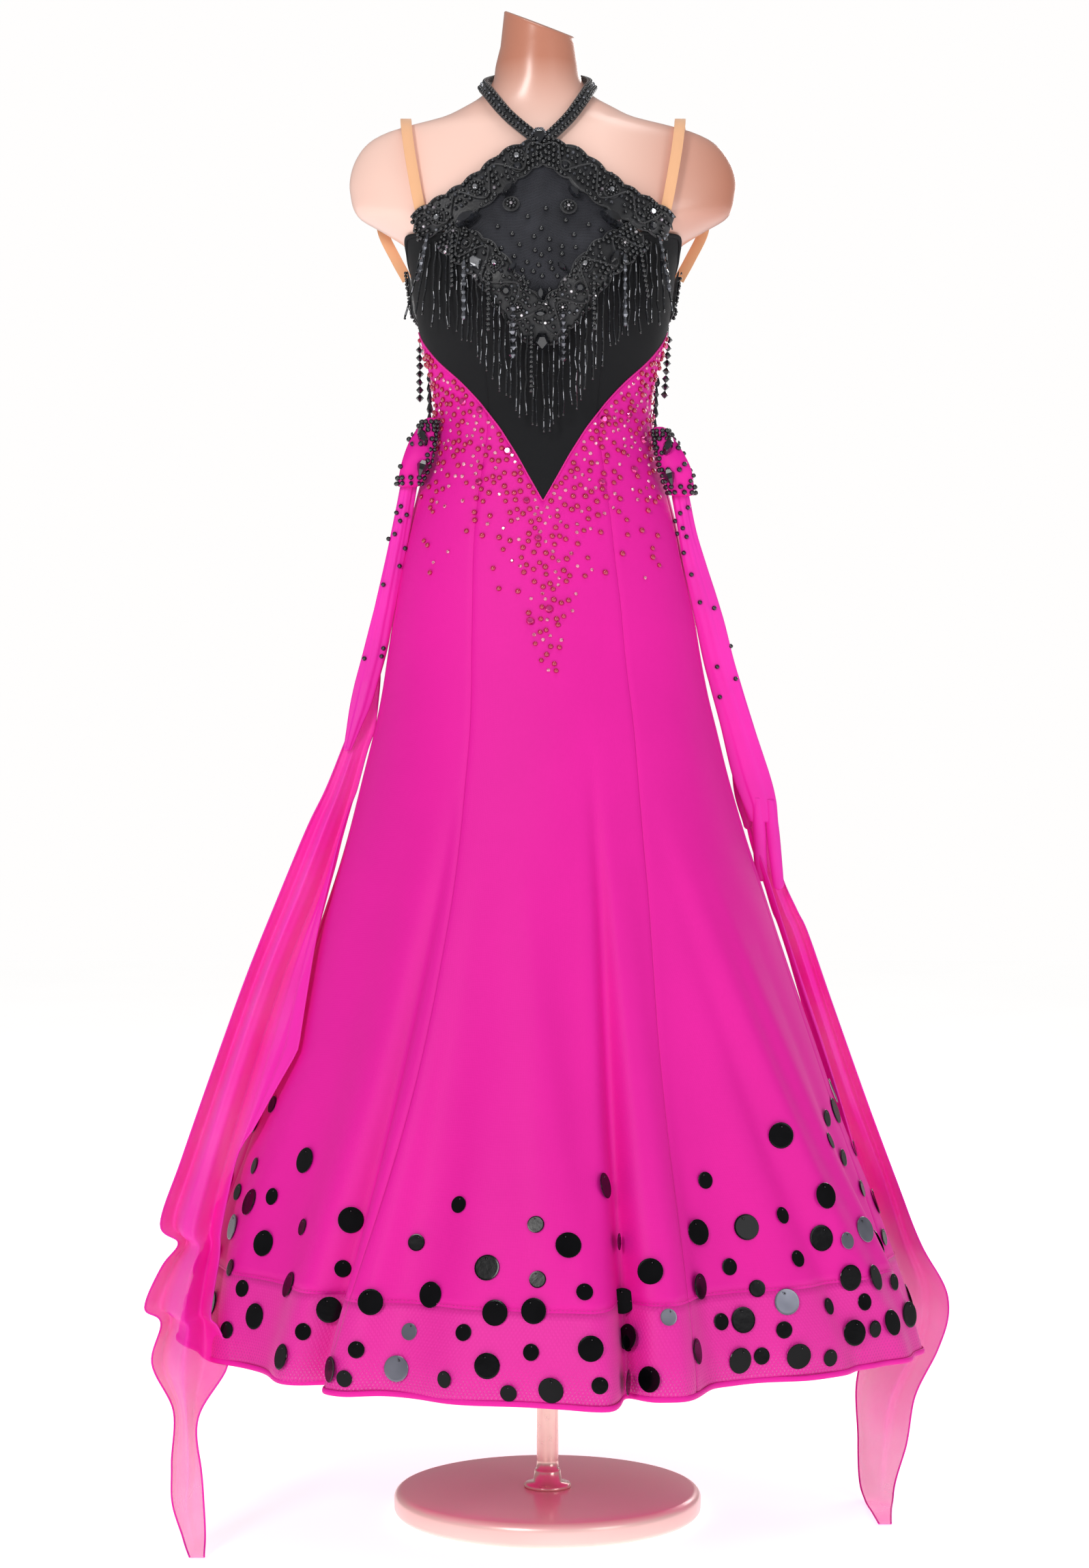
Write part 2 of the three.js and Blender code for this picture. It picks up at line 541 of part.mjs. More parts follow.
function makeSkirt() {
  for (const gore of GORES) {
    const [first, last] = [gore.columns[0], gore.columns[gore.columns.length - 1]];
    const us = gore.columns.map((angle) => (angle - first) / (last - first));
    const panel = (u, v) => {
      const top = edgeHeight(LOWER_EDGE, lerp(first, last, u)) - EDGE_GAP / 2;
      const z = lerp(HEM_SEAM_Z + EDGE_GAP / 2, top, v);
      return dressFace(goreAngle(gore, u, z), z);
    };
    add(`skirt_${gore.name}`, wall(us, steps(9), panel, CLOTH), 'magenta');
    const band = (u, v) => {
      const z = lerp(HEM_Z, HEM_SEAM_Z - EDGE_GAP / 2, v);
      return dressFace(goreAngle(gore, u, z), z);
    };
    add(`hem_${gore.name}`, wall(us, steps(1), band, CLOTH), 'magenta');
  }
}

// ---------------------------------------------------------------- the bodice and the yoke
function makeBodice() {
  for (const piece of BODICE) {
    const [first, last] = [piece.columns[0], piece.columns[piece.columns.length - 1]];
    const us = piece.columns.map((angle) => (angle - first) / (last - first));
    const gap = degrees(SEAM_GAP / 2 / FORM[0].half);
    const panel = (u, v) => {
      const angle = lerp(first + gap, last - gap, u);
      const low = edgeHeight(LOWER_EDGE, angle) + EDGE_GAP / 2;
      const high = edgeHeight(UPPER_EDGE, angle) - EDGE_GAP / 2;
      return dressFace(angle, lerp(low, high, v));
    };
    add(`bodice_${piece.name}`, wall(us, steps(5), panel, CLOTH), 'black');
  }
}

function makeYoke() {
  const lefts = YOKE.slice(1).map((row) => ({ angle: -row.angle, x: -row.x, z: row.z }));
  const rows = [...lefts.reverse(), ...YOKE];
  const last = YOKE[YOKE.length - 1].angle;
  const us = rows.map((row) => (row.angle + last) / (2 * last));
  const panel = (u, v) => {
    const angle = lerp(-last, last, u);
    const top = sample(rows, 'angle', angle);
    const low = edgeHeight(UPPER_EDGE, angle) + EDGE_GAP / 2;
    const lowX = dressFace(angle, low).x;
    const z = lerp(low, top.z, v);
    return onChest(lerp(lowX, top.x + FORM[0].x, v), z, 0);
  };
  add('yoke', wall(us, steps(6), panel, MESH_CLOTH), 'sheer');
}

// ---------------------------------------------------------------- trims sewn on the bodice
// a trim along a middle line on the chest, standing out from the cloth
function trimWall(rows, columns, out, thick) {
  const [first, last] = [rows[0].x, rows[rows.length - 1].x];
  const panel = (u, v) => {
    const x = lerp(first, last, u);
    const row = sample(rows, 'x', x);
    const step = 1;
    const before = sample(rows, 'x', Math.max(x - step, first)).z;
    const after = sample(rows, 'x', Math.min(x + step, last)).z;
    const slope = Math.atan2(after - before, 2 * step);
    const across = (v - 0.5) * row.wide;
    return onChest(x + FORM[0].x - across * Math.sin(slope), row.z + across * Math.cos(slope), out);
  };
  return wall(steps(columns), steps(2), panel, thick);
}

function makeTrims() {
  const out = LAYER_GAP + APPLIQUE;
  add('applique_upper_left', trimWall(flipped(UPPER_TRIM), 8, out, APPLIQUE), 'beads');
  add('applique_upper_right', trimWall(UPPER_TRIM, 8, out, APPLIQUE), 'beads');
  add('applique_lower', trimWall(mirrored(LOWER_TRIM), 16, out, APPLIQUE), 'beads');
  for (const [side, sign] of [['left', -1], ['right', 1]]) {
    const panel = (u, v) => {
      const angle = sign * lerp(SIDE_TRIM.from, SIDE_TRIM.to, sign > 0 ? u : 1 - u);
      const top = edgeHeight(UPPER_EDGE, angle);
      return movedOut(dressFace, angle, lerp(top - SIDE_TRIM.high, top, v), out);
    };
    add(`applique_side_${side}`, wall(steps(SIDE_TRIM.columns), steps(2), panel, APPLIQUE), 'beads');
  }
}

// the fringe follows the bust and then hangs straight down from it
function hangingPoint(x, top, z, out) {
  const heights = steps(8).map((t) => lerp(top, z, t));
  const reach = Math.min(...heights.map((height) => onChest(x, height, out).y));
  const point = onChest(x, z, out);
  point.y = Math.min(point.y, reach);
  return point;
}

function makeFringe() {
  const rows = mirrored(FRINGE_REACH);
  const parts = [
    { name: 'fringe_left', from: -134, to: -47 },
    { name: 'fringe_centre', from: -46, to: 46 },
    { name: 'fringe_right', from: 47, to: 134 },
  ];
  for (const part of parts) {
    const panel = (u, v) => {
      const x = lerp(part.from, part.to, u);
      const row = sample(rows, 'x', x);
      return hangingPoint(x + FORM[0].x, row.top, lerp(row.low, row.top, v), FRINGE_OUT);
    };
    add(part.name, wall(steps(9), steps(3), panel, FRINGE), 'beads');
  }
}

function makePiping() {
  for (const [side, sign] of [['left', -1], ['right', 1]]) {
    const points = steps(10).map((t) => {
      const angle = sign * lerp(2, 88, t);
      return movedOut(dressFace, angle, edgeHeight(LOWER_EDGE, angle), PIPING_RADIUS + LAYER_GAP);
    });
    add(`piping_${side}`, tube(new THREE.CatmullRomCurve3(points), PIPING_RADIUS, 16, 6), 'magenta');
  }
}

function makeStrands() {
  for (const [side, rows] of Object.entries(STRANDS)) {
    const curve = new THREE.CatmullRomCurve3(rows.map((row) => new THREE.Vector3(row.x, row.y, row.z)));
    add(`bead_strands_${side}`, tube(curve, STRAND_RADIUS, 8, 8), 'beads');
  }
}

// ---------------------------------------------------------------- neckband, jewel and straps
function makeNeckband() {
  const lefts = NECKBAND.map((row) => ({ ...row, angle: -row.angle }));
  const around = [...NECKBAND, ...lefts.slice(0, -1).reverse()];
  const curve = new THREE.CatmullRomCurve3(
    around.map((row) => movedOut(formFace, row.angle, row.z, NECKBAND_OUT)),
  );
  const points = curve.getSpacedPoints(36);
  const normals = points.map((point) => {
    const section = sample(FORM, 'z', point.z);
    const depth = point.y < 0 ? section.front : section.back;
    const angle = degrees(Math.atan2((point.x - section.x) / section.half, -point.y / depth));
    return movedOut(formFace, angle, point.z, 1).sub(formFace(angle, point.z));
  });
  add('neckband', ribbon(points, normals, NECKBAND_WIDTH, CLOTH + APPLIQUE / 2), 'beads');
}

function makeJewel() {
  const middle = onChest(FORM[0].x - 4, JEWEL.z, 0);
  const outline = [
    { x: -0.5, z: 0.28 }, { x: -0.2, z: 0.5 }, { x: 0.2, z: 0.5 }, { x: 0.5, z: 0.28 },
    { x: 0.42, z: -0.15 }, { x: 0, z: -0.5 }, { x: -0.42, z: -0.15 },
  ];
  const shape = new THREE.Shape(outline.map((p) => new THREE.Vector2(p.x * JEWEL.wide, p.z * JEWEL.high)));
  const geometry = new THREE.ExtrudeGeometry(shape, { depth: JEWEL.deep, bevelEnabled: false });
  const jewel = add('neck_jewel', geometry, 'beads');
  jewel.rotation.x = Math.PI / 2;
  jewel.position.set(middle.x, middle.y - JEWEL.deep, middle.z);
}

function makeStraps() {
  for (const [side, sign] of [['left', -1], ['right', 1]]) {
    const shift = FORM[0].x;
    const curve = new THREE.CatmullRomCurve3(
      STRAP.map((row) => new THREE.Vector3(sign * row.x + shift, row.y, row.z)),
    );
    const points = curve.getSpacedPoints(STRAP_STRETCHES);
    const normals = points.map((point, i) => {
      const along = curve.getTangentAt(i / STRAP_STRETCHES);
      return new THREE.Vector3(-sign, 0, 0).cross(along).multiplyScalar(-sign).normalize();
    });
    add(`strap_${side}`, ribbon(points, normals, STRAP_WIDTH, STRAP_THICK), 'elastic');
  }
}

// ---------------------------------------------------------------- gloves, cuffs and floats
function rolled(rows, count) {
  const curve = new THREE.CatmullRomCurve3(rows.map((row) => new THREE.Vector3(row.x, row.y, row.z)));
  const round = steps(10).slice(0, -1);
  const rings = steps(count).reverse().map((t) => {
    const point = curve.getPoint(t);
    const at = t * (rows.length - 1);
    const i = Math.min(Math.floor(at), rows.length - 2);
    const wide = lerp(rows[i].wide, rows[i + 1].wide, at - i) / 2;
    const thick = lerp(rows[i].thick, rows[i + 1].thick, at - i) / 2;
    return round.map((turn) => {
      const a = 2 * Math.PI * turn;
      return new THREE.Vector3(point.x + wide * Math.sin(a), point.y - thick * Math.cos(a), point.z);
    });
  });
  return loft(rings);
}

function makeGloves() {
  for (const side of ['left', 'right']) {
    add(`glove_cuff_${side}`, rolled(CUFFS[side], 8), 'beads');
    add(`glove_${side}`, rolled(GLOVES[side], 14), 'chiffon');
    const rows = FLOATS[side].map((row, i) => ({ ...row, down: i }));
    const panel = (u, v) => {
      const row = sample(rows, 'down', (rows.length - 1) * (1 - v));
      const outward = side === 'left' ? 1 - u : u;
      const wave = row.wave * Math.sin(2 * Math.PI * FLOAT_WAVES * u);
      const y = row.y + row.lean * (outward - 0.5) + wave;
      return new THREE.Vector3(lerp(row.inner, row.outer, outward), y, row.z);
    };
    add(`float_${side}`, wall(steps(9), steps(18), panel, MESH_CLOTH), 'chiffon');
  }
}

makeStand();
makeForm();
makeSkirt();
makeBodice();
makeYoke();
makeTrims();
makeFringe();
makePiping();
makeStrands();
makeNeckband();
makeJewel();
makeStraps();
makeGloves();

export default group;
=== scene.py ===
import math
import random

import bpy
import numpy as np
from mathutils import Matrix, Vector
from mathutils.bvhtree import BVHTree
from mathutils.noise import noise as bpy_noise


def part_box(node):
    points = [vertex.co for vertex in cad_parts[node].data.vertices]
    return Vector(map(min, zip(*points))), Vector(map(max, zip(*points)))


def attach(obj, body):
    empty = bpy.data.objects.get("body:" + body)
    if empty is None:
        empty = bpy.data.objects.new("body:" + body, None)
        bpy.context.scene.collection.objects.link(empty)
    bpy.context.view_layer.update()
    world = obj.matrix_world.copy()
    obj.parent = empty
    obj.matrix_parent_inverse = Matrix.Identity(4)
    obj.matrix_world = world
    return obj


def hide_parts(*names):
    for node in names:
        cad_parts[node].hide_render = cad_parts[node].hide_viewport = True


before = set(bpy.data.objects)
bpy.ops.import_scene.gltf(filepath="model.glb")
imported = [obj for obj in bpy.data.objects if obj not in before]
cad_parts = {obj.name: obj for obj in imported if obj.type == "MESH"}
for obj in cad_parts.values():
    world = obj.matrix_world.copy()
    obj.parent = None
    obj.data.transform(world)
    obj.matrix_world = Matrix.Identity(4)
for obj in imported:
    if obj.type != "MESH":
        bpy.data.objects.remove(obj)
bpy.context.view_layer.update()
SCENE = bpy.context.scene
BODY = "root"

# ---------------------------------------------------------------- driving sizes, in metres
EASE = 0.005  # from the form to the bodice's outer face
WAIST_Z = 1.220
HEM_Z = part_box("hem_front_centre")[0].z
HEM_SEAM_Z = 0.290
JOINT_GAP = 0.0003  # between pieces that meet edge to edge
BUST = {"out": 0.015, "x": 0.060, "spread": 0.045, "z": 1.348, "rise": 0.046}
FOLD_GROWTH = 1.15
NECK_TOP = {"z": 1.646, "x": -0.009, "half": 0.039, "front": 0.046, "back": 0.040}
NECK_SLOPES = {"right": 0.38, "back_up": 0.24}
POLE_RADIUS = (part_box("stand_pole")[1].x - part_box("stand_pole")[0].x) / 2
BASE_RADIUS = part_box("stand_base")[1].x
BASE_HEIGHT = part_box("stand_base")[1].z

# height, middle x, half width, depth to the front and to the back
FORM_ROWS = [
    (0.925, -0.005, 0.042, 0.028, 0.032), (0.933, -0.005, 0.088, 0.058, 0.068),
    (0.950, -0.005, 0.120, 0.078, 0.090), (0.985, -0.005, 0.139, 0.091, 0.105),
    (1.030, -0.005, 0.144, 0.095, 0.110), (1.080, -0.005, 0.139, 0.091, 0.104),
    (1.130, -0.005, 0.128, 0.084, 0.093), (1.180, -0.005, 0.117, 0.079, 0.080),
    (1.220, -0.005, 0.114, 0.080, 0.075), (1.260, -0.005, 0.121, 0.087, 0.079),
    (1.300, -0.005, 0.131, 0.096, 0.086), (1.345, -0.005, 0.138, 0.102, 0.092),
    (1.380, -0.005, 0.143, 0.100, 0.095), (1.400, -0.005, 0.152, 0.096, 0.096),
    (1.417, -0.005, 0.178, 0.091, 0.095), (1.433, -0.005, 0.204, 0.086, 0.092),
    (1.460, -0.005, 0.213, 0.079, 0.087), (1.480, -0.005, 0.212, 0.073, 0.083),
    (1.500, -0.006, 0.203, 0.066, 0.079), (1.515, -0.007, 0.189, 0.060, 0.074),
    (1.525, -0.008, 0.169, 0.056, 0.071), (1.532, -0.009, 0.144, 0.054, 0.068),
    (1.541, -0.010, 0.108, 0.052, 0.063), (1.552, -0.010, 0.084, 0.051, 0.058),
    (1.564, -0.011, 0.063, 0.051, 0.054), (1.580, -0.011, 0.050, 0.051, 0.049),
    (1.600, -0.011, 0.046, 0.050, 0.045), (1.620, -0.010, 0.042, 0.048, 0.042),
]
SKIRT_ROWS = [
    (0.200, 0.000, 0.403, 0.386, 0.390), (0.235, 0.000, 0.396, 0.384, 0.388),
    (0.310, 0.000, 0.371, 0.363, 0.366), (0.420, 0.000, 0.330, 0.323, 0.326),
    (0.540, 0.000, 0.288, 0.279, 0.283), (0.635, 0.000, 0.257, 0.243, 0.249),
    (0.695, 0.000, 0.237, 0.221, 0.228), (0.745, -0.001, 0.221, 0.202, 0.211),
    (0.811, -0.002, 0.203, 0.178, 0.190), (0.867, -0.002, 0.189, 0.158, 0.171),
    (0.907, -0.003, 0.180, 0.144, 0.157), (0.954, -0.004, 0.172, 0.129, 0.143),
    (1.000, -0.004, 0.165, 0.117, 0.131), (1.045, -0.005, 0.157, 0.108, 0.122),
    (1.090, -0.005, 0.148, 0.100, 0.113), (1.130, -0.005, 0.138, 0.093, 0.103),
    (1.180, -0.005, 0.124, 0.086, 0.088),
]
# angle at the hem and where it starts, height where it starts, how far out at the hem, half widths
FOLD_ROWS = [
    (-160, -158, 0.880, 0.026, 9, 8), (-140, -146, 0.900, -0.030, 8, 10),
    (-118, -116, 0.860, 0.024, 8, 9), (-97, -100, 0.840, -0.016, 8, 7),
    (-53, -50, 0.900, -0.027, 15, 11), (-36, -27, 0.800, -0.013, 2.5, 1.6),
    (-23, -17, 0.740, -0.015, 7, 9), (8, -8, 0.760, 0.036, 12, 5),
    (12, 14.6, 0.850, -0.044, 2.4, 2.2), (34, 27, 0.900, -0.047, 13, 14),
    (68, 37, 0.840, 0.009, 6, 8), (99, 102, 0.860, -0.020, 8, 8),
    (119, 117, 0.880, 0.026, 9, 8), (139, 144, 0.900, -0.032, 9, 8),
    (160, 158, 0.860, 0.024, 8, 8), (180, 180, 0.880, -0.022, 7, 7),
]
# the black bodice's lower and upper edges: degrees from the front, height
LOWER_EDGE_ROWS = [
    (0, 1.112), (6, 1.137), (12, 1.160), (18, 1.179), (24, 1.196), (36, 1.223), (48, 1.246),
    (63, 1.268), (78, 1.291), (90, 1.306), (120, 1.296), (150, 1.272), (180, 1.250),
]
UPPER_EDGE_ROWS = [
    (0, 1.292), (6, 1.301), (12, 1.314), (18, 1.334), (24, 1.358), (30, 1.367), (40, 1.400),
    (54, 1.404), (66, 1.404), (78, 1.395), (90, 1.378), (108, 1.360), (140, 1.330), (180, 1.312),
]


# ---------------------------------------------------------------- tables and surfaces
def sample(rows, at, column, key=0):
    """A column of a table at each value of its key column, by a smooth curve through the rows."""
    data = np.array(rows, float)
    data = data[np.argsort(data[:, key])]
    x, y = data[:, key], data[:, column]
    at = np.clip(np.asarray(at, float), x[0], x[-1])
    i = np.clip(np.searchsorted(x, at, side="right") - 1, 0, len(x) - 2)
    span = x[i + 1] - x[i]
    t = (at - x[i]) / span
    rise = y[i + 1] - y[i]
    before, after = np.maximum(i - 1, 0), np.minimum(i + 2, len(x) - 1)
    slope_p = np.where(i > 0, span * (y[i + 1] - y[before]) / (x[i + 1] - x[before]), rise)
    slope_q = np.where(i < len(x) - 2, span * (y[after] - y[i]) / (x[after] - x[i]), rise)
    return y[i] + rise * t * t * (3 - 2 * t) + slope_p * t * (1 - t) ** 2 + slope_q * t * t * (t - 1)


def fade(value, first, last):
    """From 0 at first to 1 at last, and level beyond them."""
    return np.clip((value - first) / (last - first), 0, 1)


def bump(distance, spread):
    return np.exp(-((distance / spread) ** 2))


def form_section(z, ease=0.0):
    x, half, front, back = (sample(FORM_ROWS, z, c) for c in (1, 2, 3, 4))
    return x, half + ease, front + ease, back + ease


WAIST_ROW = (WAIST_Z, *(float(v) for v in form_section(WAIST_Z, EASE)))
DRESS_ROWS = SKIRT_ROWS + [WAIST_ROW]


def dress_section(z):
    z = np.asarray(z, float)
    low = [sample(DRESS_ROWS, z, c) for c in (1, 2, 3, 4)]
    high = form_section(z, EASE)
    return [np.where(z < WAIST_Z, a, b) for a, b in zip(low, high)]


def section_points(section, angle, z):
    """Points round a section of two half ellipses, with the bust in front."""
    x, half, front, back = section
    a = np.radians(angle)
    depth = np.where(np.cos(a) > 0, front, back)
    px = x + half * np.sin(a)
    py = -depth * np.cos(a)
    rises = bump(px - x + BUST["x"], BUST["spread"]) + bump(px - x - BUST["x"], BUST["spread"])
    front_part = fade(-py, 0, BUST["spread"])
    py = py - BUST["out"] * rises * bump(z - BUST["z"], BUST["rise"]) * front_part
    return np.stack(np.broadcast_arrays(px, py, z), -1)


def fold_depth(angle, z):
    """How far the skirt's folds move its surface out at an angle and a height."""
    depth = np.zeros(np.broadcast(angle, z).shape)
    for hem, rise, top, out, before, after in FOLD_ROWS:
        down = np.clip((top - z) / (top - HEM_Z), 0, None)
        away = angle - (rise + (hem - rise) * down)
        away = away - 360 * np.round(away / 360)
        spread = np.where(away < 0, before, after)
        depth = depth + out * down ** FOLD_GROWTH * bump(away, spread)
    return depth


def form_face(angle, z):
    z = np.asarray(z, float)
    return section_points(form_section(z), angle, z)


def dress_face(angle, z):
    """The dress's outer face at an angle round the body, in degrees from the front, and a height."""
    angle, z = np.broadcast_arrays(np.asarray(angle, float), np.asarray(z, float))
    section = dress_section(z)
    p = section_points(section, angle, z)
    dx, dy = p[..., 0] - section[0], p[..., 1]
    radius = np.hypot(dx, dy)
    factor = (radius + fold_depth(angle, z)) / radius
    return np.stack([section[0] + dx * factor, dy * factor, z], -1)


def unit(v):
    return v / np.maximum(np.linalg.norm(v, axis=-1, keepdims=True), 1e-12)


def face_normal(face, angle, z):
    across = face(angle + 0.4, z) - face(angle - 0.4, z)
    up = face(angle, z + 0.0005) - face(angle, z - 0.0005)
    return unit(np.cross(across, up))


def moved_out(face, angle, z, out):
    """Points at a distance out from a surface."""
    return face(angle, z) + face_normal(face, angle, z) * np.asarray(out)[..., None]


def edge_height(rows, angle):
    """The height of an edge at an angle, alike on the left and the right."""
    away = np.abs(angle - 360 * np.round(np.asarray(angle, float) / 360))
    return sample(rows, away, 1)


# ---------------------------------------------------------------- meshes
def new_mesh(name, vertices, faces, paint, uvs=None):
    mesh = bpy.data.meshes.new(name)
    mesh.from_pydata([tuple(v) for v in vertices], [], [tuple(f) for f in faces])
    if uvs is not None:
        layer = mesh.uv_layers.new(name="cloth")
        corner = np.zeros(len(mesh.loops), int)
        mesh.loops.foreach_get("vertex_index", corner)
        layer.data.foreach_set("uv", np.asarray(uvs, float)[corner].ravel())
    mesh.polygons.foreach_set("use_smooth", [True] * len(mesh.polygons))
    mesh.update()
    mesh.materials.append(paint.mat)
    obj = bpy.data.objects.new(name, mesh)
    SCENE.collection.objects.link(obj)
    return obj


def quads(rows, columns, wrap=False):
    """Faces between rows of points, which go up, where a row's points go round to the right."""
    faces = []
    for j in range(rows - 1):
        for i in range(columns if wrap else columns - 1):
            a, b = j * columns + i, j * columns + (i + 1) % columns
            faces.append((a, b, b + columns, a + columns))
    return faces


def cloth_shell(name, points, paint, thick):
    """A thin cloth through rows of points, on its outer face."""
    uvs = cloth_uvs(points).reshape(-1, 2)
    obj = new_mesh(name, points.reshape(-1, 3), quads(*points.shape[:2]), paint, uvs)
    shell = obj.modifiers.new("thickness", "SOLIDIFY")
    shell.thickness = thick
    shell.offset = -1
    return obj


def cloth_uvs(points):
    """Lengths along the cloth across and up, in metres, so that a weave has its real scale."""
    across = np.linalg.norm(np.diff(points, axis=1, prepend=points[:, :1]), axis=-1).cumsum(1)
    up = np.linalg.norm(np.diff(points, axis=0, prepend=points[:1]), axis=-1).cumsum(0)
    return np.stack([across - across[:, -1:] / 2, up], -1)


def finish_piece(obj, slot, *nodes):
    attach(obj, BODY)
    if nodes:
        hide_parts(*nodes)
    return obj


def round_solid(name, rings, paint):
    """A closed body through rings of points, from the bottom up."""
    rings = np.asarray(rings, float)
    count, size = rings.shape[:2]
    faces = quads(count, size, True)
    faces.append(tuple(reversed(range(size))))
    faces.append(tuple((count - 1) * size + i for i in range(size)))
    return new_mesh(name, rings.reshape(-1, 3), faces, paint)


def sweep(points, normals, outline, closed=False):
    """Vertices and faces of an outline carried along points; outline is (side, out) pairs."""
    points, normals = np.asarray(points, float), np.asarray(normals, float)
    if closed:
        along = unit(np.roll(points, -1, 0) - np.roll(points, 1, 0))
    else:
        along = unit(np.gradient(points, axis=0))
    side = unit(np.cross(along, normals))
    out = unit(np.cross(side, along))
    rings = points[:, None] + side[:, None] * outline[:, :1] + out[:, None] * outline[:, 1:]
    count, size = rings.shape[:2]
    faces = []
    for j in range(count if closed else count - 1):
        k = (j + 1) % count
        for i in range(size):
            m = (i + 1) % size
            faces.append((j * size + m, j * size + i, k * size + i, k * size + m))
    if not closed:
        faces.append(tuple(range(size)))
        faces.append(tuple((count - 1) * size + i for i in reversed(range(size))))
    return rings.reshape(-1, 3), faces


def circle(radius, sides):
    """Points round a circle, anticlockwise from its right."""
    a = np.arange(sides) * 2 * math.pi / sides
    return np.stack([radius * np.cos(a), radius * np.sin(a)], -1)


ASKEW = (0.31, 0.92, 0.23)  # a direction that no cord runs in


def tube_mesh(points, radius, sides):
    points = np.asarray(points, float)
    along = unit(np.gradient(points, axis=0))
    return sweep(points, unit(np.cross(along, ASKEW)), circle(radius, sides))


class Parts:
    """Many small meshes gathered into one object."""

    def __init__(self):
        self.vertices, self.faces, self.smooth, self.count = [], [], [], 0

    def add(self, vertices, faces, smooth=True):
        base = self.count
        self.vertices.append(np.asarray(vertices, float).reshape(-1, 3))
        self.faces.extend(tuple(base + i for i in face) for face in faces)
        self.smooth.extend([smooth] * len(faces))
        self.count += len(self.vertices[-1])

    def stamp(self, template, frames):
        vertices, faces, smooth = template
        for frame_ in frames:
            self.add(vertices @ frame_[:3, :3].T + frame_[:3, 3], faces, smooth)

    def make(self, name, paint):
        obj = new_mesh(name, np.concatenate(self.vertices), self.faces, paint)
        obj.data.polygons.foreach_set("use_smooth", self.smooth)
        return obj


def lathe(profile, sides, smooth=True):
    """A template turned round its z axis from (radius, height) pairs, bottom first."""
    vertices, faces, rows = [], [], []
    for radius, height in profile:
        if radius < 1e-9:
            rows.append([len(vertices)] * sides)
            vertices.append((0, 0, height))
        else:
            rows.append(list(range(len(vertices), len(vertices) + sides)))
            vertices.extend((*p, height) for p in circle(radius, sides))
    for low, high in zip(rows, rows[1:]):
        for i in range(sides):
            k = (i + 1) % sides
            face = list(dict.fromkeys((low[i], low[k], high[k], high[i])))
            if len(face) > 2:
                faces.append(tuple(face))
    return np.array(vertices), faces, smooth


def ball(sides, rows):
    """A template of unit width."""
    a = np.linspace(-math.pi / 2, math.pi / 2, rows + 1)
    profile = [(max(0.0, 0.5 * math.cos(t)), 0.5 * math.sin(t)) for t in a]
    profile[0], profile[-1] = (0, -0.5), (0, 0.5)
    return lathe(profile, sides)


def gem(outline, high=0.34):
    """A faceted stone: its girdle is an outline in x and y, with a table above and a point below."""
    table, low = 0.6, 0.16
    outline = np.asarray(outline, float)
    count = len(outline)
    mid = (outline + np.roll(outline, -1, 0)) / 2
    girdle = np.column_stack([outline, np.zeros(count)])
    star = np.column_stack([mid * (table + 1) / 2, np.full(count, high * 0.62)])
    top = np.column_stack([outline * table, np.full(count, high)])
    vertices = np.concatenate([girdle, star, top, [(0, 0, -low)]])
    faces = []
    for i in range(count):
        k = (i + 1) % count
        faces += [(i, k, count + i), (k, 2 * count + k, count + i),
                  (2 * count + k, 2 * count + i, count + i), (2 * count + i, i, count + i)]
        faces.append((k, i, 3 * count))
    faces.append(tuple(2 * count + i for i in range(count)))
    return vertices, faces, False


def pointed_outline():
    """A marquise's outline, two arcs that meet in points, one long and half as wide."""
    t = np.arange(12) / 12 * 2 * math.pi
    return np.column_stack([0.5 * np.cos(t), 0.25 * np.sin(t) * np.abs(np.sin(t)) ** 0.35])


# templates of unit width or length, their long way along z, or along x for stones
BALL = ball(10, 6)
SMALL_BALL = ball(8, 4)
BICONE = lathe([(0, -0.46), (0.14, -0.42), (0.5, 0), (0.14, 0.42), (0, 0.46)], 6, False)
DROP = lathe([(0, -0.62), (0.28, -0.5), (0.44, -0.2), (0.30, 0.2), (0.1, 0.62), (0, 0.64)], 6, False)
BUGLE = lathe([(0, -0.5), (0.5, -0.5), (0.5, 0.5), (0, 0.5)], 6, False)
STITCH = lathe([(0, -0.5), (0.42, -0.3), (0.5, 0), (0.42, 0.3), (0, 0.5)], 6)
CRYSTAL = gem(circle(0.5, 8))
MARQUISE = gem(pointed_outline())
KITE = gem([(0.62, 0), (0.12, 0.42), (-0.38, 0.2), (-0.38, -0.2), (0.12, -0.42)])
SHIELD = gem([(-0.12, 0.34), (-0.5, 0.16), (-0.5, -0.16), (-0.12, -0.34), (0.5, 0)][::-1], high=0.26)


def frames_at(points, normals, along, size, stretch=(1, 1, 1)):
    """Matrices whose z is the normal and whose x lies near the given direction."""
    points, normals = np.atleast_2d(points).astype(float), np.atleast_2d(normals).astype(float)
    along = np.broadcast_to(np.asarray(along, float), points.shape)
    z = unit(normals)
    y = unit(np.cross(z, along))
    x = np.cross(y, z)
    size = np.broadcast_to(np.asarray(size, float), (len(points),))
    result = np.zeros((len(points), 4, 4))
    for column, (axis, factor) in enumerate(zip((x, y, z), stretch)):
        result[:, :3, column] = axis * (size * factor)[:, None]
    result[:, :3, 3] = points
    result[:, 3, 3] = 1
    return result


# ---------------------------------------------------------------- materials
def srgb(red, green, blue):
    def linear(value):
        value /= 255
        return value / 12.92 if value <= 0.04045 else ((value + 0.055) / 1.055) ** 2.4
    return (linear(red), linear(green), linear(blue), 1)


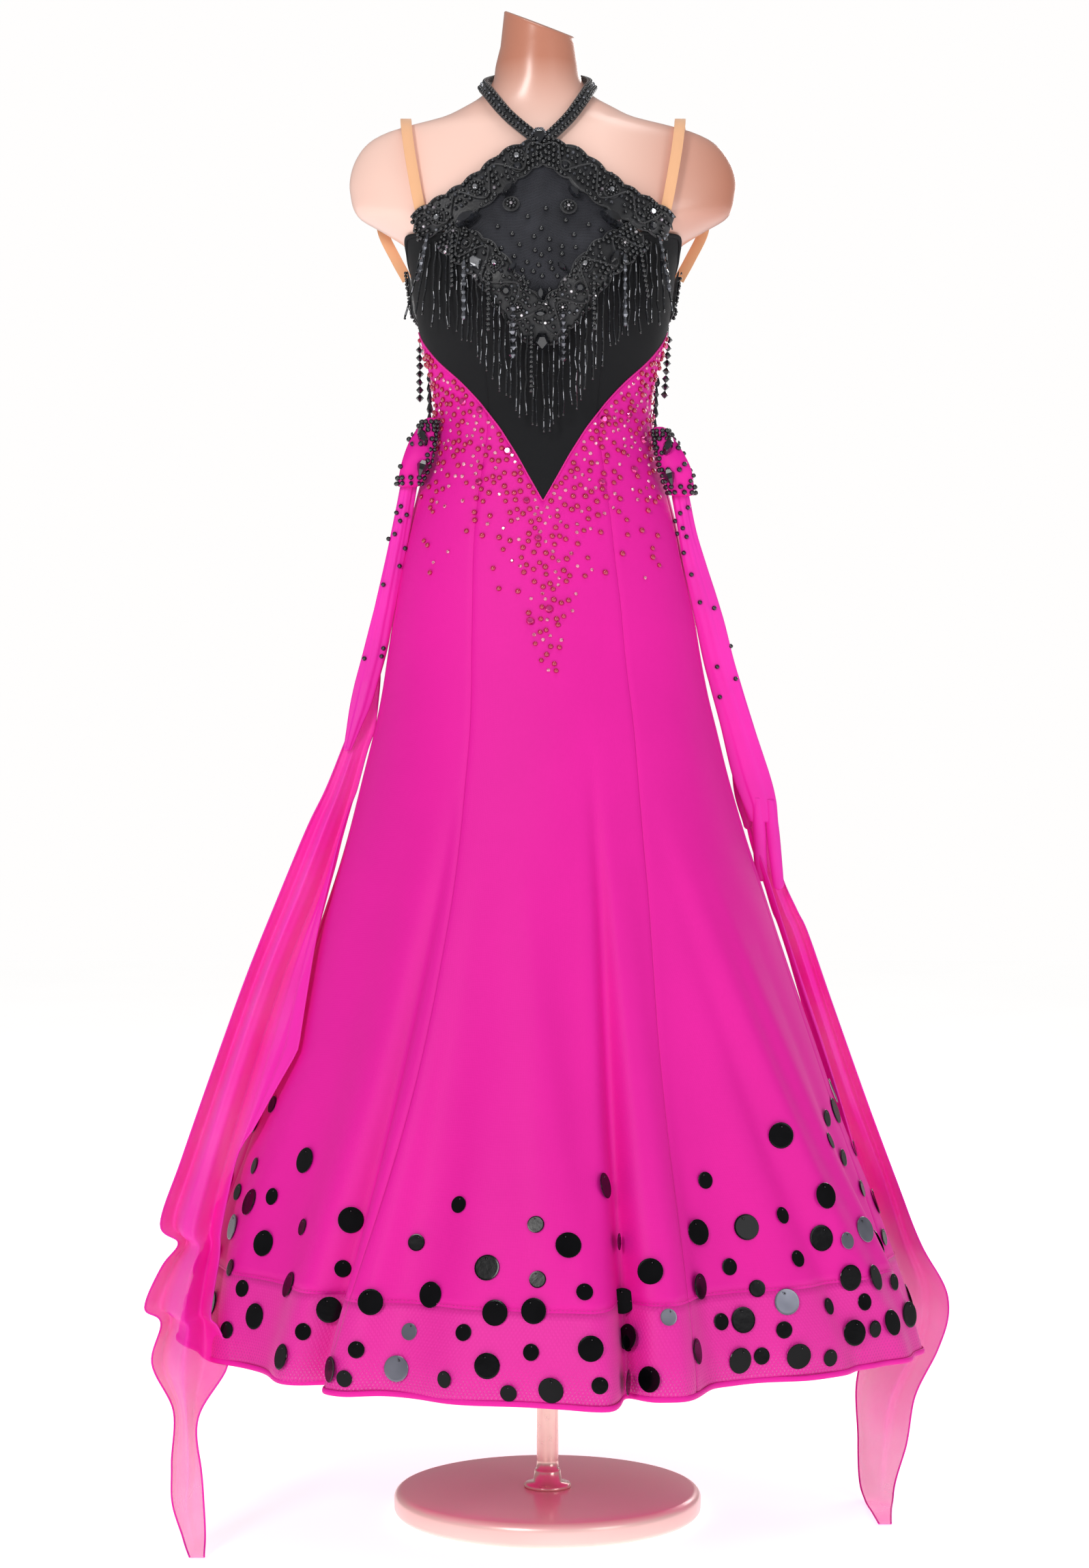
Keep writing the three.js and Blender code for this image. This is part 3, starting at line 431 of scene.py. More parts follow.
class Material:
    def __init__(self, name, colour, rough=0.5, **sockets):
        self.mat = bpy.data.materials.new(name)
        self.mat.use_nodes = True
        self.tree = self.mat.node_tree
        self.shader = self.tree.nodes["Principled BSDF"]
        self.output = self.tree.nodes["Material Output"]
        self.set(self.shader, "Base Color", colour)
        self.set(self.shader, "Roughness", rough)
        for key, value in sockets.items():
            self.set(self.shader, key.replace("_", " "), value)
        self.place = self.node("ShaderNodeTexCoord").outputs["Object"]
        self.flat = self.node("ShaderNodeUVMap").outputs["UV"]

    def node(self, kind, **inputs):
        made = self.tree.nodes.new(kind)
        for key, value in inputs.items():
            self.set(made, key.replace("_", " "), value)
        return made

    def set(self, node, socket, value):
        if isinstance(value, bpy.types.NodeSocket):
            self.tree.links.new(value, node.inputs[socket])
        else:
            node.inputs[socket].default_value = value

    def noise(self, scale, detail):
        made = self.node("ShaderNodeTexNoise", Vector=self.place, Scale=scale, Detail=detail)
        return made.outputs["Fac"]

    def wave(self, scale, turn=0.0, direction="X"):
        """Threads of the cloth, across or up it, turned by an angle."""
        vector = self.node("ShaderNodeMapping", Vector=self.flat, Rotation=(0, 0, turn))
        made = self.node("ShaderNodeTexWave", Vector=vector.outputs["Vector"], Scale=scale)
        made.bands_direction = direction
        return made.outputs["Fac"]

    def span(self, axis, first, last, low=0.0, high=1.0):
        """A value that goes from low to high between two places on an axis."""
        place = self.node("ShaderNodeSeparateXYZ", Vector=self.place).outputs[axis]
        made = self.node("ShaderNodeMapRange", Value=place, From_Min=first, From_Max=last, To_Min=low,
                         To_Max=high)
        return made.outputs["Result"]

    def math(self, what, a, b):
        made = self.node("ShaderNodeMath")
        made.operation = what
        self.set(made, 0, a)
        self.set(made, 1, b)
        return made.outputs[0]

    def ramp(self, factor, *stops):
        made = self.node("ShaderNodeValToRGB", Fac=factor)
        for element, (at, colour) in zip(made.color_ramp.elements, stops):
            element.position = at
            element.color = colour if hasattr(colour, "__len__") else (colour,) * 3 + (1,)
        return made.outputs["Color"]

    def colour(self, factor, *stops):
        self.set(self.shader, "Base Color", self.ramp(factor, *stops))
        return self

    def mottle(self, scale, detail, *stops):
        """A colour that varies by noise between two stops, each a place and its red, green and blue."""
        return self.colour(self.noise(scale, detail), *((at, srgb(*rgb)) for at, rgb in stops))

    def bump(self, height, strength, distance):
        """Adds relief to what the surface has already."""
        made = self.node("ShaderNodeBump", Height=height, Strength=strength, Distance=distance)
        before = self.shader.inputs["Normal"].links
        if before:
            self.set(made, "Normal", before[0].from_socket)
        self.set(self.shader, "Normal", made.outputs["Normal"])
        return self

    def see_through(self, opaque):
        """Lets what is behind show where opaque is under 1."""
        clear = self.node("ShaderNodeBsdfTransparent")
        mix = self.tree.nodes.new("ShaderNodeMixShader")
        self.set(mix, "Fac", opaque)
        self.tree.links.new(clear.outputs["BSDF"], mix.inputs[1])
        self.tree.links.new(self.shader.outputs["BSDF"], mix.inputs[2])
        self.tree.links.new(mix.outputs["Shader"], self.output.inputs["Surface"])
        return self


def scaled(colour, factor):
    return (*(c * factor for c in colour[:3]), 1)


def cloth_material(name, colour, rough, sheen, mottle, threads, depth, tint=(1, 1, 1, 1)):
    """Woven cloth with some unevenness of colour; threads is the weave's scale and depth its relief."""
    m = Material(name, colour, rough, Sheen_Weight=sheen, Sheen_Roughness=0.45, Sheen_Tint=tint,
                 Specular_IOR_Level=0.3)
    m.colour(m.noise(6, 3), (0.3, scaled(colour, 1 - mottle)), (0.7, scaled(colour, 1 + mottle)))
    weave = m.math("MULTIPLY", m.wave(threads), m.wave(threads, 0, "Y"))
    m.bump(weave, 0.25, depth)
    m.bump(m.noise(55, 3), 0.12, 0.002)
    return m


MAGENTA = srgb(228, 16, 158)
SATIN = cloth_material("magenta_satin", MAGENTA, 0.6, 0.05, 0.04, 260, 0.0003, srgb(255, 120, 205))
STRETCH_BLACK = cloth_material("black_stretch", srgb(17, 18, 21), 0.85, 0.03, 0.1, 300, 0.0003)
GLOVE_PINK = cloth_material("pink_satin", srgb(236, 38, 178), 0.5, 0.2, 0.10, 300, 0.0003,
                            srgb(255, 150, 225))
ELASTIC = cloth_material("peach_elastic", srgb(238, 182, 138), 0.75, 0.4, 0.06, 420, 0.0006)
PIPING = cloth_material("piping_satin", srgb(228, 26, 150), 0.45, 0.2, 0.03, 500, 0.0002)


def hem_net():
    """Stiff net, more open just above its bound edge."""
    m = Material("hem_mesh", srgb(226, 26, 160), 0.6, Sheen_Weight=0.1)
    net = m.math("MAXIMUM", m.wave(90, 0.6), m.wave(90, -0.6))
    m.colour(net, (0.3, srgb(230, 26, 162)), (0.8, srgb(226, 14, 156)))
    m.bump(net, 0.4, 0.0006)
    closed = m.math("ADD", net, m.span("Z", 0.205, 0.255, 0.0, 0.85))
    return m.see_through(m.ramp(closed, (0.35, 0.76), (0.85, 0.99)))


def chiffon():
    """Thin cloth, denser where it is gathered and clearer towards the tails, with a painted magenta glow that
    stands in for light through it.
    """
    # painted light: the emission makes the cloth glow as if lit from behind
    m = Material("magenta_chiffon", srgb(234, 24, 168), 0.6, Sheen_Weight=0.15,
                 Sheen_Tint=srgb(255, 140, 225), Emission_Color=srgb(226, 10, 168),
                 Emission_Strength=0.20)
    m.mottle(7, 2, (0.3, (228, 12, 162)), (0.7, (238, 34, 178)))
    m.bump(m.noise(140, 3), 0.1, 0.001)
    dense = m.ramp(m.noise(9, 3), (0.3, 0.80), (0.7, 0.93))
    return m.see_through(m.math("ADD", dense, m.span("Z", 0.0, 0.34, -0.46, 0.0)))


def black_net():
    m = Material("black_net", srgb(34, 35, 39), 0.7, Sheen_Weight=0.15, Specular_IOR_Level=0.25)
    m.bump(m.wave(220, 0.7), 0.3, 0.0004)
    m.mottle(30, 2, (0.3, (34, 35, 41)), (0.7, (49, 50, 57)))
    net = m.math("MAXIMUM", m.wave(150, 0.7), m.wave(150, -0.7))
    return m.see_through(m.ramp(net, (0.2, 0.72), (0.8, 0.96)))


def form_shell_painted_shade():
    """The form's shell, with painted light and shade: lighter at the chest and darker at the right shoulder
    and the neck.
    """
    m = Material("form_shell_painted_shade", srgb(226, 164, 140), 0.32, Coat_Weight=0.3, Coat_Roughness=0.18)
    # painted shade: this mask darkens the right shoulder and the neck, away from the painted lit chest tone
    dark = m.math("MAXIMUM", m.span("X", 0.06, 0.20), m.span("Z", 1.525, 1.60))
    m.colour(dark, (0.0, srgb(248, 208, 194)), (1.0, srgb(192, 126, 103)))
    return m.bump(m.noise(40, 2), 0.03, 0.001)


def rose_plating():
    m = Material("rose_plating", srgb(240, 204, 192), 0.22, Metallic=0.62)
    m.mottle(5, 2, (0.3, (240, 202, 190)), (0.7, (247, 216, 206)))
    m.set(m.shader, "Roughness", m.ramp(m.noise(60, 3), (0.3, 0.18), (0.7, 0.28)))
    return m


HEM_MESH = hem_net()
CHIFFON = chiffon()
SHEER = black_net()
FORM_SHELL = form_shell_painted_shade()
ROSE_METAL = rose_plating()
BASE_PLATE = Material("rose_base", srgb(246, 214, 204), 0.34, Metallic=0.25, Coat_Weight=0.4,
                      Coat_Roughness=0.15)
BASE_PLATE.mottle(5, 2, (0.3, (244, 208, 198)), (0.7, (250, 222, 212)))
BASE_PLATE.bump(BASE_PLATE.noise(300, 2), 0.02, 0.0005)

BLACK_BEAD = Material("black_bead", srgb(16, 17, 20), 0.12, Coat_Weight=0.6, Coat_Roughness=0.05)
BLACK_BEAD.mottle(300, 1, (0.35, (12, 13, 15)), (0.65, (30, 32, 37)))
SEQUIN = Material("black_sequin", srgb(6, 6, 8), 0.16, Specular_IOR_Level=0.16)
SEQUIN.mottle(40, 2, (0.3, (4, 4, 6)), (0.7, (10, 10, 13)))
SEQUIN.bump(SEQUIN.noise(120, 2), 0.08, 0.001)
# painted reflection: a lighter grey copy of the black sequins, for those that show a light
SEQUIN_PAINTED_LIT = Material("sequin_painted_reflection", srgb(113, 115, 127), 0.25, Metallic=0.5)
SEQUIN_PAINTED_LIT.mottle(30, 2, (0.3, (100, 102, 114)), (0.7, (126, 128, 140)))
PEARL = Material("rose_pearl", srgb(176, 8, 60), 0.22, Coat_Weight=1.0, Coat_Roughness=0.06)
PEARL.mottle(110, 2, (0.3, (160, 4, 48)), (0.7, (192, 20, 76)))
ROSE_STONE = Material("rose_crystal", srgb(232, 120, 170), 0.08, Metallic=0.3, Coat_Weight=0.8)
ROSE_STONE.mottle(260, 2, (0.35, (176, 30, 90)), (0.6, (250, 178, 202)))
CLEAR_STONE = Material("pale_crystal", srgb(236, 226, 232), 0.06, Metallic=0.85)
CLEAR_STONE.mottle(160, 2, (0.35, (170, 160, 172)), (0.6, (250, 246, 250)))
PINK_STONE = Material("magenta_crystal", srgb(226, 30, 130), 0.07, Metallic=0.6, Coat_Weight=0.7)
PINK_STONE.mottle(140, 2, (0.3, (176, 10, 92)), (0.7, (240, 70, 160)))
JET = Material("jet_stone", srgb(14, 15, 18), 0.07, Coat_Weight=0.8, Coat_Roughness=0.03)
JET.mottle(120, 2, (0.3, (10, 10, 12)), (0.7, (34, 36, 42)))
DARK_STONE = Material("smoke_crystal", srgb(70, 72, 80), 0.08, Metallic=0.8, Coat_Weight=0.5)
DARK_STONE.mottle(120, 2, (0.3, (30, 31, 36)), (0.7, (140, 143, 152)))
# painted highlight: a pale material for thin strips laid in front of the black bugles
PAINTED_GLINT = Material("glass_painted_highlight", srgb(196, 199, 206), 0.3, Metallic=0.4)
PAINTED_GLINT.mottle(150, 2, (0.35, (96, 99, 108)), (0.65, (236, 238, 244)))
MIRROR = Material("mirror_stone", srgb(205, 208, 214), 0.05, Metallic=1.0)
MIRROR.mottle(90, 2, (0.3, (150, 152, 160)), (0.7, (236, 238, 242)))
CORD_BLACK = Material("black_cord", srgb(22, 23, 26), 0.45, Sheen_Weight=0.3)
CORD_BLACK.mottle(60, 2, (0.3, (18, 19, 22)), (0.7, (34, 35, 40)))
CORD_BLACK.bump(CORD_BLACK.noise(400, 2), 0.4, 0.0008)
THREAD = Material("magenta_thread", srgb(196, 26, 138), 0.6)
THREAD.mottle(80, 2, (0.3, (186, 20, 128)), (0.7, (210, 36, 150)))


# ---------------------------------------------------------------- camera, light and floor
EYE = Vector((-0.0034, -3.5, 0.85))
TILT_DOWN = 0.70  # degrees


def make_stage():
    lens = bpy.data.cameras.new("camera")
    lens.lens = 72.64
    lens.sensor_width = 36
    lens.clip_end = 100
    camera = bpy.data.objects.new("camera", lens)
    camera.location = EYE
    camera.rotation_euler = (math.radians(90 - TILT_DOWN), 0, 0)
    SCENE.collection.objects.link(camera)
    SCENE.camera = camera
    SCENE.view_settings.view_transform = "Standard"

    world = bpy.data.worlds.new("studio")
    world.use_nodes = True
    tree = world.node_tree
    sky = tree.nodes["Background"]
    sky.inputs["Color"].default_value = (1.0, 0.99, 0.985, 1)
    seen = tree.nodes.new("ShaderNodeLightPath").outputs["Is Camera Ray"]
    level = tree.nodes.new("ShaderNodeMapRange")
    level.inputs["To Min"].default_value = 0.30
    level.inputs["To Max"].default_value = 1.0
    tree.links.new(seen, level.inputs["Value"])
    tree.links.new(level.outputs["Result"], sky.inputs["Strength"])
    SCENE.world = world

    for name, place, size, power, tint in (
        ("key", (-1.7, -3.9, 2.5), 1.1, 74, (1, 0.985, 0.97)),
        ("fill", (2.9, -3.0, 1.7), 1.8, 24, (0.98, 0.985, 1)),
        ("top", (0.2, -0.2, 4.0), 1.6, 24, (1, 1, 1)),
        ("rim", (1.6, 3.2, 2.2), 1.8, 44, (1, 1, 1)),
    ):
        lamp = bpy.data.lights.new(name, "AREA")
        lamp.shape = "DISK"
        lamp.size = size
        lamp.energy = power
        lamp.color = tint
        obj = bpy.data.objects.new(name, lamp)
        obj.location = place
        aim = Vector((0, 0, 0.95)) - Vector(place)
        obj.rotation_euler = aim.to_track_quat("-Z", "Y").to_euler()
        SCENE.collection.objects.link(obj)

    paper = Material("paper_floor", (0.93, 0.925, 0.92, 1), 0.85, Emission_Color=(1, 0.995, 0.99, 1),
                     Emission_Strength=0.70)
    paper.colour(paper.noise(2, 2), (0.3, (0.92, 0.915, 0.91, 1)), (0.7, (0.95, 0.945, 0.94, 1)))
    floor = new_mesh("floor", [(-9, -9, 0), (9, -9, 0), (9, 9, 0), (-9, 9, 0)], [(0, 1, 2, 3)], paper)
    floor.location.z = -0.0005  # just under the base


# ---------------------------------------------------------------- stand and form
def turned_rings(profile, sides):
    """Rings round the pole's axis from (radius, height) pairs, from the bottom up."""
    angles = np.linspace(0, 2 * math.pi, sides + 1)[:-1]
    return [[(r * math.cos(a), r * math.sin(a), z) for a in angles] for r, z in profile]


def make_stand():
    edge, drop = 0.009, 0.0012
    turn = np.linspace(-math.pi / 2, math.pi / 2, 13)
    profile = [(BASE_RADIUS - 0.020, 0.001), (BASE_RADIUS - edge, 0.0)]
    for a in turn:
        middle = edge if a < 0 else BASE_HEIGHT - drop - edge
        profile.append((BASE_RADIUS - edge + edge * math.cos(a), middle + edge * math.sin(a)))
    profile += [(r, BASE_HEIGHT - drop * (r / BASE_RADIUS) ** 2) for r in (0.14, 0.1, 0.06, 0.03)]
    base = round_solid("base_disc", turned_rings(profile, 128), BASE_PLATE)
    finish_piece(base, "plated_metal", "stand_base")

    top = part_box("stand_pole")[1].z
    collar = [(0.026, 0), (0.026, 0.003), (0.0245, 0.0045), (0.0155, 0.006), (0.0145, 0.018),
              (0.0135, 0.020), (POLE_RADIUS, 0.0205)]
    profile = [(r, BASE_HEIGHT + z) for r, z in collar]
    profile += [(POLE_RADIUS, z) for z in np.linspace(BASE_HEIGHT + 0.03, top - 0.001, 24)]
    profile += [(POLE_RADIUS - 0.001, top)]
    pole = round_solid("stand_tube", turned_rings(profile, 48), ROSE_METAL)
    finish_piece(pole, "plated_metal", "stand_pole")


def make_form():
    angles = np.linspace(-180, 180, 121)[:-1]
    low, high = FORM_ROWS[0][0], FORM_ROWS[-1][0]
    heights = np.concatenate([np.linspace(low, 0.96, 14), np.linspace(0.97, 1.39, 44),
                              np.linspace(1.396, high, 60)])
    rings = [form_face(angles, np.full(120, z)) for z in heights]
    centre = rings[0].mean(0)
    rings.insert(0, centre + (rings[0] - centre) * (0.55, 0.55, 1) + (0, 0, -0.0004))
    n = NECK_TOP
    # the neck's slanting top, with a rounded edge
    for inset, drop in ((0, 0.004), (0, 0.0025), (0.0008, 0.001), (0.0022, 0.0002), (0.012, 0.0)):
        section = (n["x"], n["half"] - inset, n["front"] - inset, n["back"] - inset)
        a = np.radians(angles)
        depth = np.where(np.cos(a) > 0, section[2], section[3])
        x, y = section[0] + section[1] * np.sin(a), -depth * np.cos(a)
        z = n["z"] + NECK_SLOPES["back_up"] * y - NECK_SLOPES["right"] * (x - n["x"]) - drop
        rings.append(np.stack([x, y, z], -1))
    form = round_solid("dress_form", rings, FORM_SHELL)
    finish_piece(form, "form_shell", "form_torso")


# ---------------------------------------------------------------- skirt and hem band
SEAM_ROWS = {  # each seam between gores: height, degrees from the front
    "front_left": [(1.100, -30), (0.830, -25), (0.540, -26), (0.200, -34)],
    "front_right": [(1.100, 30), (0.830, 30), (0.540, 25.5), (0.200, 22.5)],
    "side_left": [(1.100, -78), (0.200, -80)], "side_right": [(1.100, 78), (0.200, 80)],
    "back_left": [(1.100, -126), (0.200, -128)], "back_right": [(1.100, 126), (0.200, 128)],
    "centre_left": [(1.100, -180), (0.200, -180)], "centre_right": [(1.100, 180), (0.200, 180)],
}
# name, seams at its left and right, degrees at its top's two ends, columns of its mesh
GORES = (
    ("front_centre", "front_left", "front_right", -30, 30, 110),
    ("front_left", "side_left", "front_left", -78, -30, 66),
    ("front_right", "front_right", "side_right", 30, 78, 66),
    ("side_left", "back_left", "side_left", -126, -78, 50),
    ("side_right", "side_right", "back_right", 78, 126, 50),
    ("back_left", "centre_left", "back_left", -180, -126, 56),
    ("back_right", "back_right", "centre_right", 126, 180, 56),
)
# lesser folds, which the CAD cloth leaves out: as FOLD_ROWS
LESSER_FOLDS = [
    (-168, -170, 0.62, 0.007, 4, 5), (-150, -151, 0.70, 0.006, 4, 3), (-129, -127, 0.64, 0.007, 4, 4),
    (-108, -106, 0.60, -0.006, 4, 4), (-86, -84, 0.72, 0.007, 4, 5), (-74, -70, 0.70, -0.006, 4, 4),
    (-64, -60, 0.62, 0.006, 4, 4), (-44, -40, 0.58, 0.008, 5, 4), (-30, -21, 0.78, 0.014, 5, 3),
    (-37, -28, 0.80, -0.020, 3.4, 1.5), (-14, -12, 0.60, 0.006, 4, 5), (-4, -9, 0.55, -0.005, 4, 4),
    (20, 21, 0.74, 0.016, 3.5, 4), (2, 8, 0.84, -0.010, 5, 4), (28, 25, 0.60, -0.006, 3, 3),
    (44, 38, 0.70, 0.006, 4, 4), (56, 33, 0.80, -0.009, 3, 3), (65, 36, 0.80, 0.012, 3, 4),
    (63, 50, 0.66, -0.006, 3, 4), (74, 48, 0.74, 0.012, 3, 4), (80, 60, 0.70, -0.008, 3, 4),
    (87, 84, 0.70, 0.007, 4, 5), (109, 110, 0.60, -0.006, 4, 4), (128, 130, 0.64, 0.007, 4, 4),
    (150, 151, 0.70, 0.007, 4, 3), (170, 169, 0.62, 0.006, 4, 5),
]
FOLD_ROWS.extend(LESSER_FOLDS)


def seam_angle(seam, z):
    return sample(SEAM_ROWS[seam], np.minimum(z, 1.1), 1)


def gore_columns(count):
    """Places from 0 to 1 across a piece, closer together at its seams."""
    ends = np.array([0, 0.006, 0.014, 0.026])
    return np.concatenate([ends, np.linspace(0.045, 0.955, count - 8), 1 - ends[::-1]])


def cloth_noise(points, size, amount):
    """Soft unevenness, longer up the cloth than across it."""
    spots = points.reshape(-1, 3) / (size, size, size * 2.2)
    return np.array([bpy_noise(Vector(p)) for p in spots]).reshape(points.shape[:2]) * amount


def gore_face(gore, u, z):
    """A gore's outer face, with its seams drawn in and the small unevenness of hung cloth."""
    _, left, right, *_ = gore
    u, z = np.broadcast_arrays(u, z)
    angle = seam_angle(left, z) * (1 - u) + seam_angle(right, z) * u
    points = dress_face(angle, z)
    normals = face_normal(dress_face, angle, z)
    width = np.linalg.norm(points[:, :1] - points[:, -1:], axis=-1)
    to_seam = np.minimum(u, 1 - u) * width
    loose = np.clip((0.95 - z) / 0.5, 0.15, 1)
    uneven = cloth_noise(points, 0.075, 0.0022) * loose * fade(to_seam, 0, 0.01)
    return points + normals * (uneven - 0.0013 * bump(to_seam, 0.0028))[..., None]


def reach_along(points):
    """How far along a line each of its points lies."""
    return np.concatenate([[0], np.linalg.norm(np.diff(points, axis=0), axis=-1).cumsum()])


def at_reach(at, reach, data):
    """What lies at some distances along a line, from its data at each point."""
    return np.stack([np.interp(at, reach, column) for column in data.T], -1)


def edge_stitches(points, normals):
    """Short thread stitches along a line of points."""
    pitch, length, thick, lift = 0.0042, 0.003, 0.0007, 0.0003
    reach = reach_along(points)
    at = np.arange(pitch / 2, reach[-1], pitch)
    place = at_reach(at, reach, points)
    ahead = at_reach(at + pitch / 3, reach, points)
    normal = unit(at_reach(at, reach, normals))
    return frames_at(place + normal * lift, normal, ahead - place, 1, (length, thick, thick))


def make_gore(gore):
    """One gore of the skirt; returns it and its outer face."""
    name, _, _, first, last, count = gore
    u = gore_columns(count)[None, :]
    top = edge_height(LOWER_EDGE_ROWS, first + (last - first) * u) - JOINT_GAP
    z = HEM_SEAM_Z + (top - HEM_SEAM_Z) * np.linspace(0, 1, 92)[:, None]
    points = gore_face(gore, u, z)
    piece = cloth_shell(f"gore_{name}", points, SATIN, 0.0012)
    finish_piece(piece, "skirt_cloth", f"skirt_{name}")
    return piece, points


def make_band(gore):
    """A gore's length of the stiffened hem band; returns its outer face."""
    name, *_, count = gore
    u = gore_columns(count)[None, :]
    z = HEM_Z + (HEM_SEAM_Z - HEM_Z) * np.linspace(0, 1, 12)[:, None] + 0 * u
    points = gore_face(gore, u, z)
    band = cloth_shell(f"band_{name}", points, HEM_MESH, 0.0008)
    finish_piece(band, "hem_band", f"hem_{name}")
    return points


def make_skirt():
    """The gores with their bands, the seam's stitches and the bound hem; returns the outer faces."""
    faces = []
    seams, binding = Parts(), Parts()
    for gore in GORES:
        piece, points = make_gore(gore)
        faces.append(points)
        points = make_band(gore)
        faces.append(points)
        normals = unit(np.cross(np.gradient(points[-1], axis=0), points[-1] - points[-2]))
        seams.stamp(STITCH, edge_stitches(points[-1] + (0, 0, 0.0025), normals))
    around = np.linspace(-180, 180, 721)[:-1]
    level = np.full(720, HEM_Z)
    low, normals = dress_face(around, level), face_normal(dress_face, around, level)
    binding.add(*sweep(low + (0, 0, 0.001), normals, circle(1, 8) * (0.0030, 0.0012), True))
    finish_piece(seams.make("hem_stitches", THREAD), "skirt_cloth")
    finish_piece(binding.make("hem_binding", SATIN), "skirt_cloth")
    return faces


def row_length(points):
    return float(np.linalg.norm(np.diff(points, axis=0), axis=-1).sum())


def grid_area(points):
    across, up = np.diff(points, axis=1)[:-1], np.diff(points, axis=0)[:, :-1]
    return float(np.linalg.norm(np.cross(across, up), axis=-1).sum())


# ---------------------------------------------------------------- bodice and yoke
# name, degrees at its two side edges, columns of its mesh
BODICE = (("centre", -30, 30, 62), ("left", -90, -30, 62), ("right", 30, 90, 62), ("back", 90, 270, 150))
# angle of a column at the yoke's lower edge, and where it ends at the top
YOKE_ROWS = [
    (0, 0, 1.484), (6, 0.010, 1.484), (12, 0.025, 1.476), (18, 0.043, 1.463), (24, 0.063, 1.450),
    (30, 0.084, 1.436), (36, 0.102, 1.425),
]
YOKE_ROWS = [(-a, -x, z) for a, x, z in YOKE_ROWS[:0:-1]] + YOKE_ROWS
MIDDLE_X = -0.005  # the bodice's middle line, a little to the left of the pole's


def angle_at(x, z):
    """Degrees round the dress's front at which it has a given x."""
    section = dress_section(z)
    return np.degrees(np.arcsin(np.clip((x - section[0]) / section[1], -1, 1)))


def on_chest(x, z, out=0.0):
    """Places on the dress's front, or some way out from it, by x and height."""
    x, z = np.broadcast_arrays(np.asarray(x, float), np.asarray(z, float))
    return moved_out(dress_face, angle_at(x, z), z, np.full(x.shape, out))


def cord_on_edge(name, rows, angles, radii, paint):
    """A cord, wider than deep, along one of the bodice's edges."""
    z = edge_height(rows, angles)
    points = moved_out(dress_face, angles, z, np.full(len(angles), 0.0002))
    return new_mesh(name, *sweep(points, face_normal(dress_face, angles, z), circle(1, 8) * radii), paint)


def make_bodice():
    for name, first, last, count in BODICE:
        u = gore_columns(count)[None, :]
        angle = first + (last - first) * u
        low = edge_height(LOWER_EDGE_ROWS, angle) + JOINT_GAP
        high = edge_height(UPPER_EDGE_ROWS, angle)
        z = low + (high - low) * np.linspace(0, 1, 42)[:, None]
        angle = angle + 0 * z
        points = dress_face(angle, z)
        width = np.linalg.norm(points[:, :1] - points[:, -1:], axis=-1)
        to_seam = np.minimum(u, 1 - u) * width
        dent = cloth_noise(points, 0.04, 0.0008) - 0.0009 * bump(to_seam, 0.0022)
        points = points + face_normal(dress_face, angle, z) * dent[..., None]
        piece = cloth_shell(f"cloth_bodice_{name}", points, STRETCH_BLACK, 0.0014)
        finish_piece(piece, "bodice_cloth", f"bodice_{name}")
        wide, long_ = row_length(points[20]), row_length(points[:, count // 2])
        area = grid_area(points)
        long_ = max(long_, area / wide)

    edge = cord_on_edge("bodice_edge", UPPER_EDGE_ROWS, np.linspace(36, 324, 290), (0.0024, 0.0014),
                        STRETCH_BLACK)
    finish_piece(edge, "bodice_cloth")
    piping = cord_on_edge("waist_piping", LOWER_EDGE_ROWS, np.linspace(-88, 88, 240), (0.0009, 0.0009),
                          PIPING)
    finish_piece(piping, "skirt_cloth", "piping_left", "piping_right")


def make_yoke():
    columns = np.linspace(-36, 36, 74)[None, :]
    low = edge_height(UPPER_EDGE_ROWS, columns) + JOINT_GAP
    low_x = dress_face(columns, low)[..., 0]
    top_x, top_z = sample(YOKE_ROWS, columns, 1) + MIDDLE_X, sample(YOKE_ROWS, columns, 2)
    v = np.linspace(0, 1, 40)[:, None]
    points = on_chest(low_x + (top_x - low_x) * v, low + (top_z - low) * v)
    piece = cloth_shell("net_yoke", points, SHEER, 0.0006)
    finish_piece(piece, "sheer_mesh", "yoke")


# ---------------------------------------------------------------- what is sewn on
def surface_tree(grids):
    """What rays meet: the faces of grids of points."""
    vertices, faces = [], []
    for points in grids:
        first = len(vertices)
        vertices.extend(Vector(p) for p in points.reshape(-1, 3))
        faces.extend(tuple(first + i for i in face) for face in quads(*points.shape[:2]))
    return BVHTree.FromPolygons(vertices, faces)


def seen_at(tree, right, up):
    """Where the surface lies that shows at (right, up) centimetres on the plane through the pole."""
    toward = Vector((right / 100, 0, up / 100)) - EYE
    place, normal, _, _ = tree.ray_cast(EYE, toward.normalized())
    if place is None:
        return None
    return np.array(place), np.array(normal if normal.dot(toward) < 0 else -normal)


def chest_tree():
    """What rays meet in front, from the bodice's point to above the yoke."""
    angles, heights = np.linspace(-88, 88, 120)[None, :], np.linspace(1.10, 1.53, 110)[:, None]
    return surface_tree([dress_face(angles, heights)])


def far_enough(place, chosen, gap):
    return all(sum((a - b) ** 2 for a, b in zip(place, q)) > gap * gap for q in chosen)


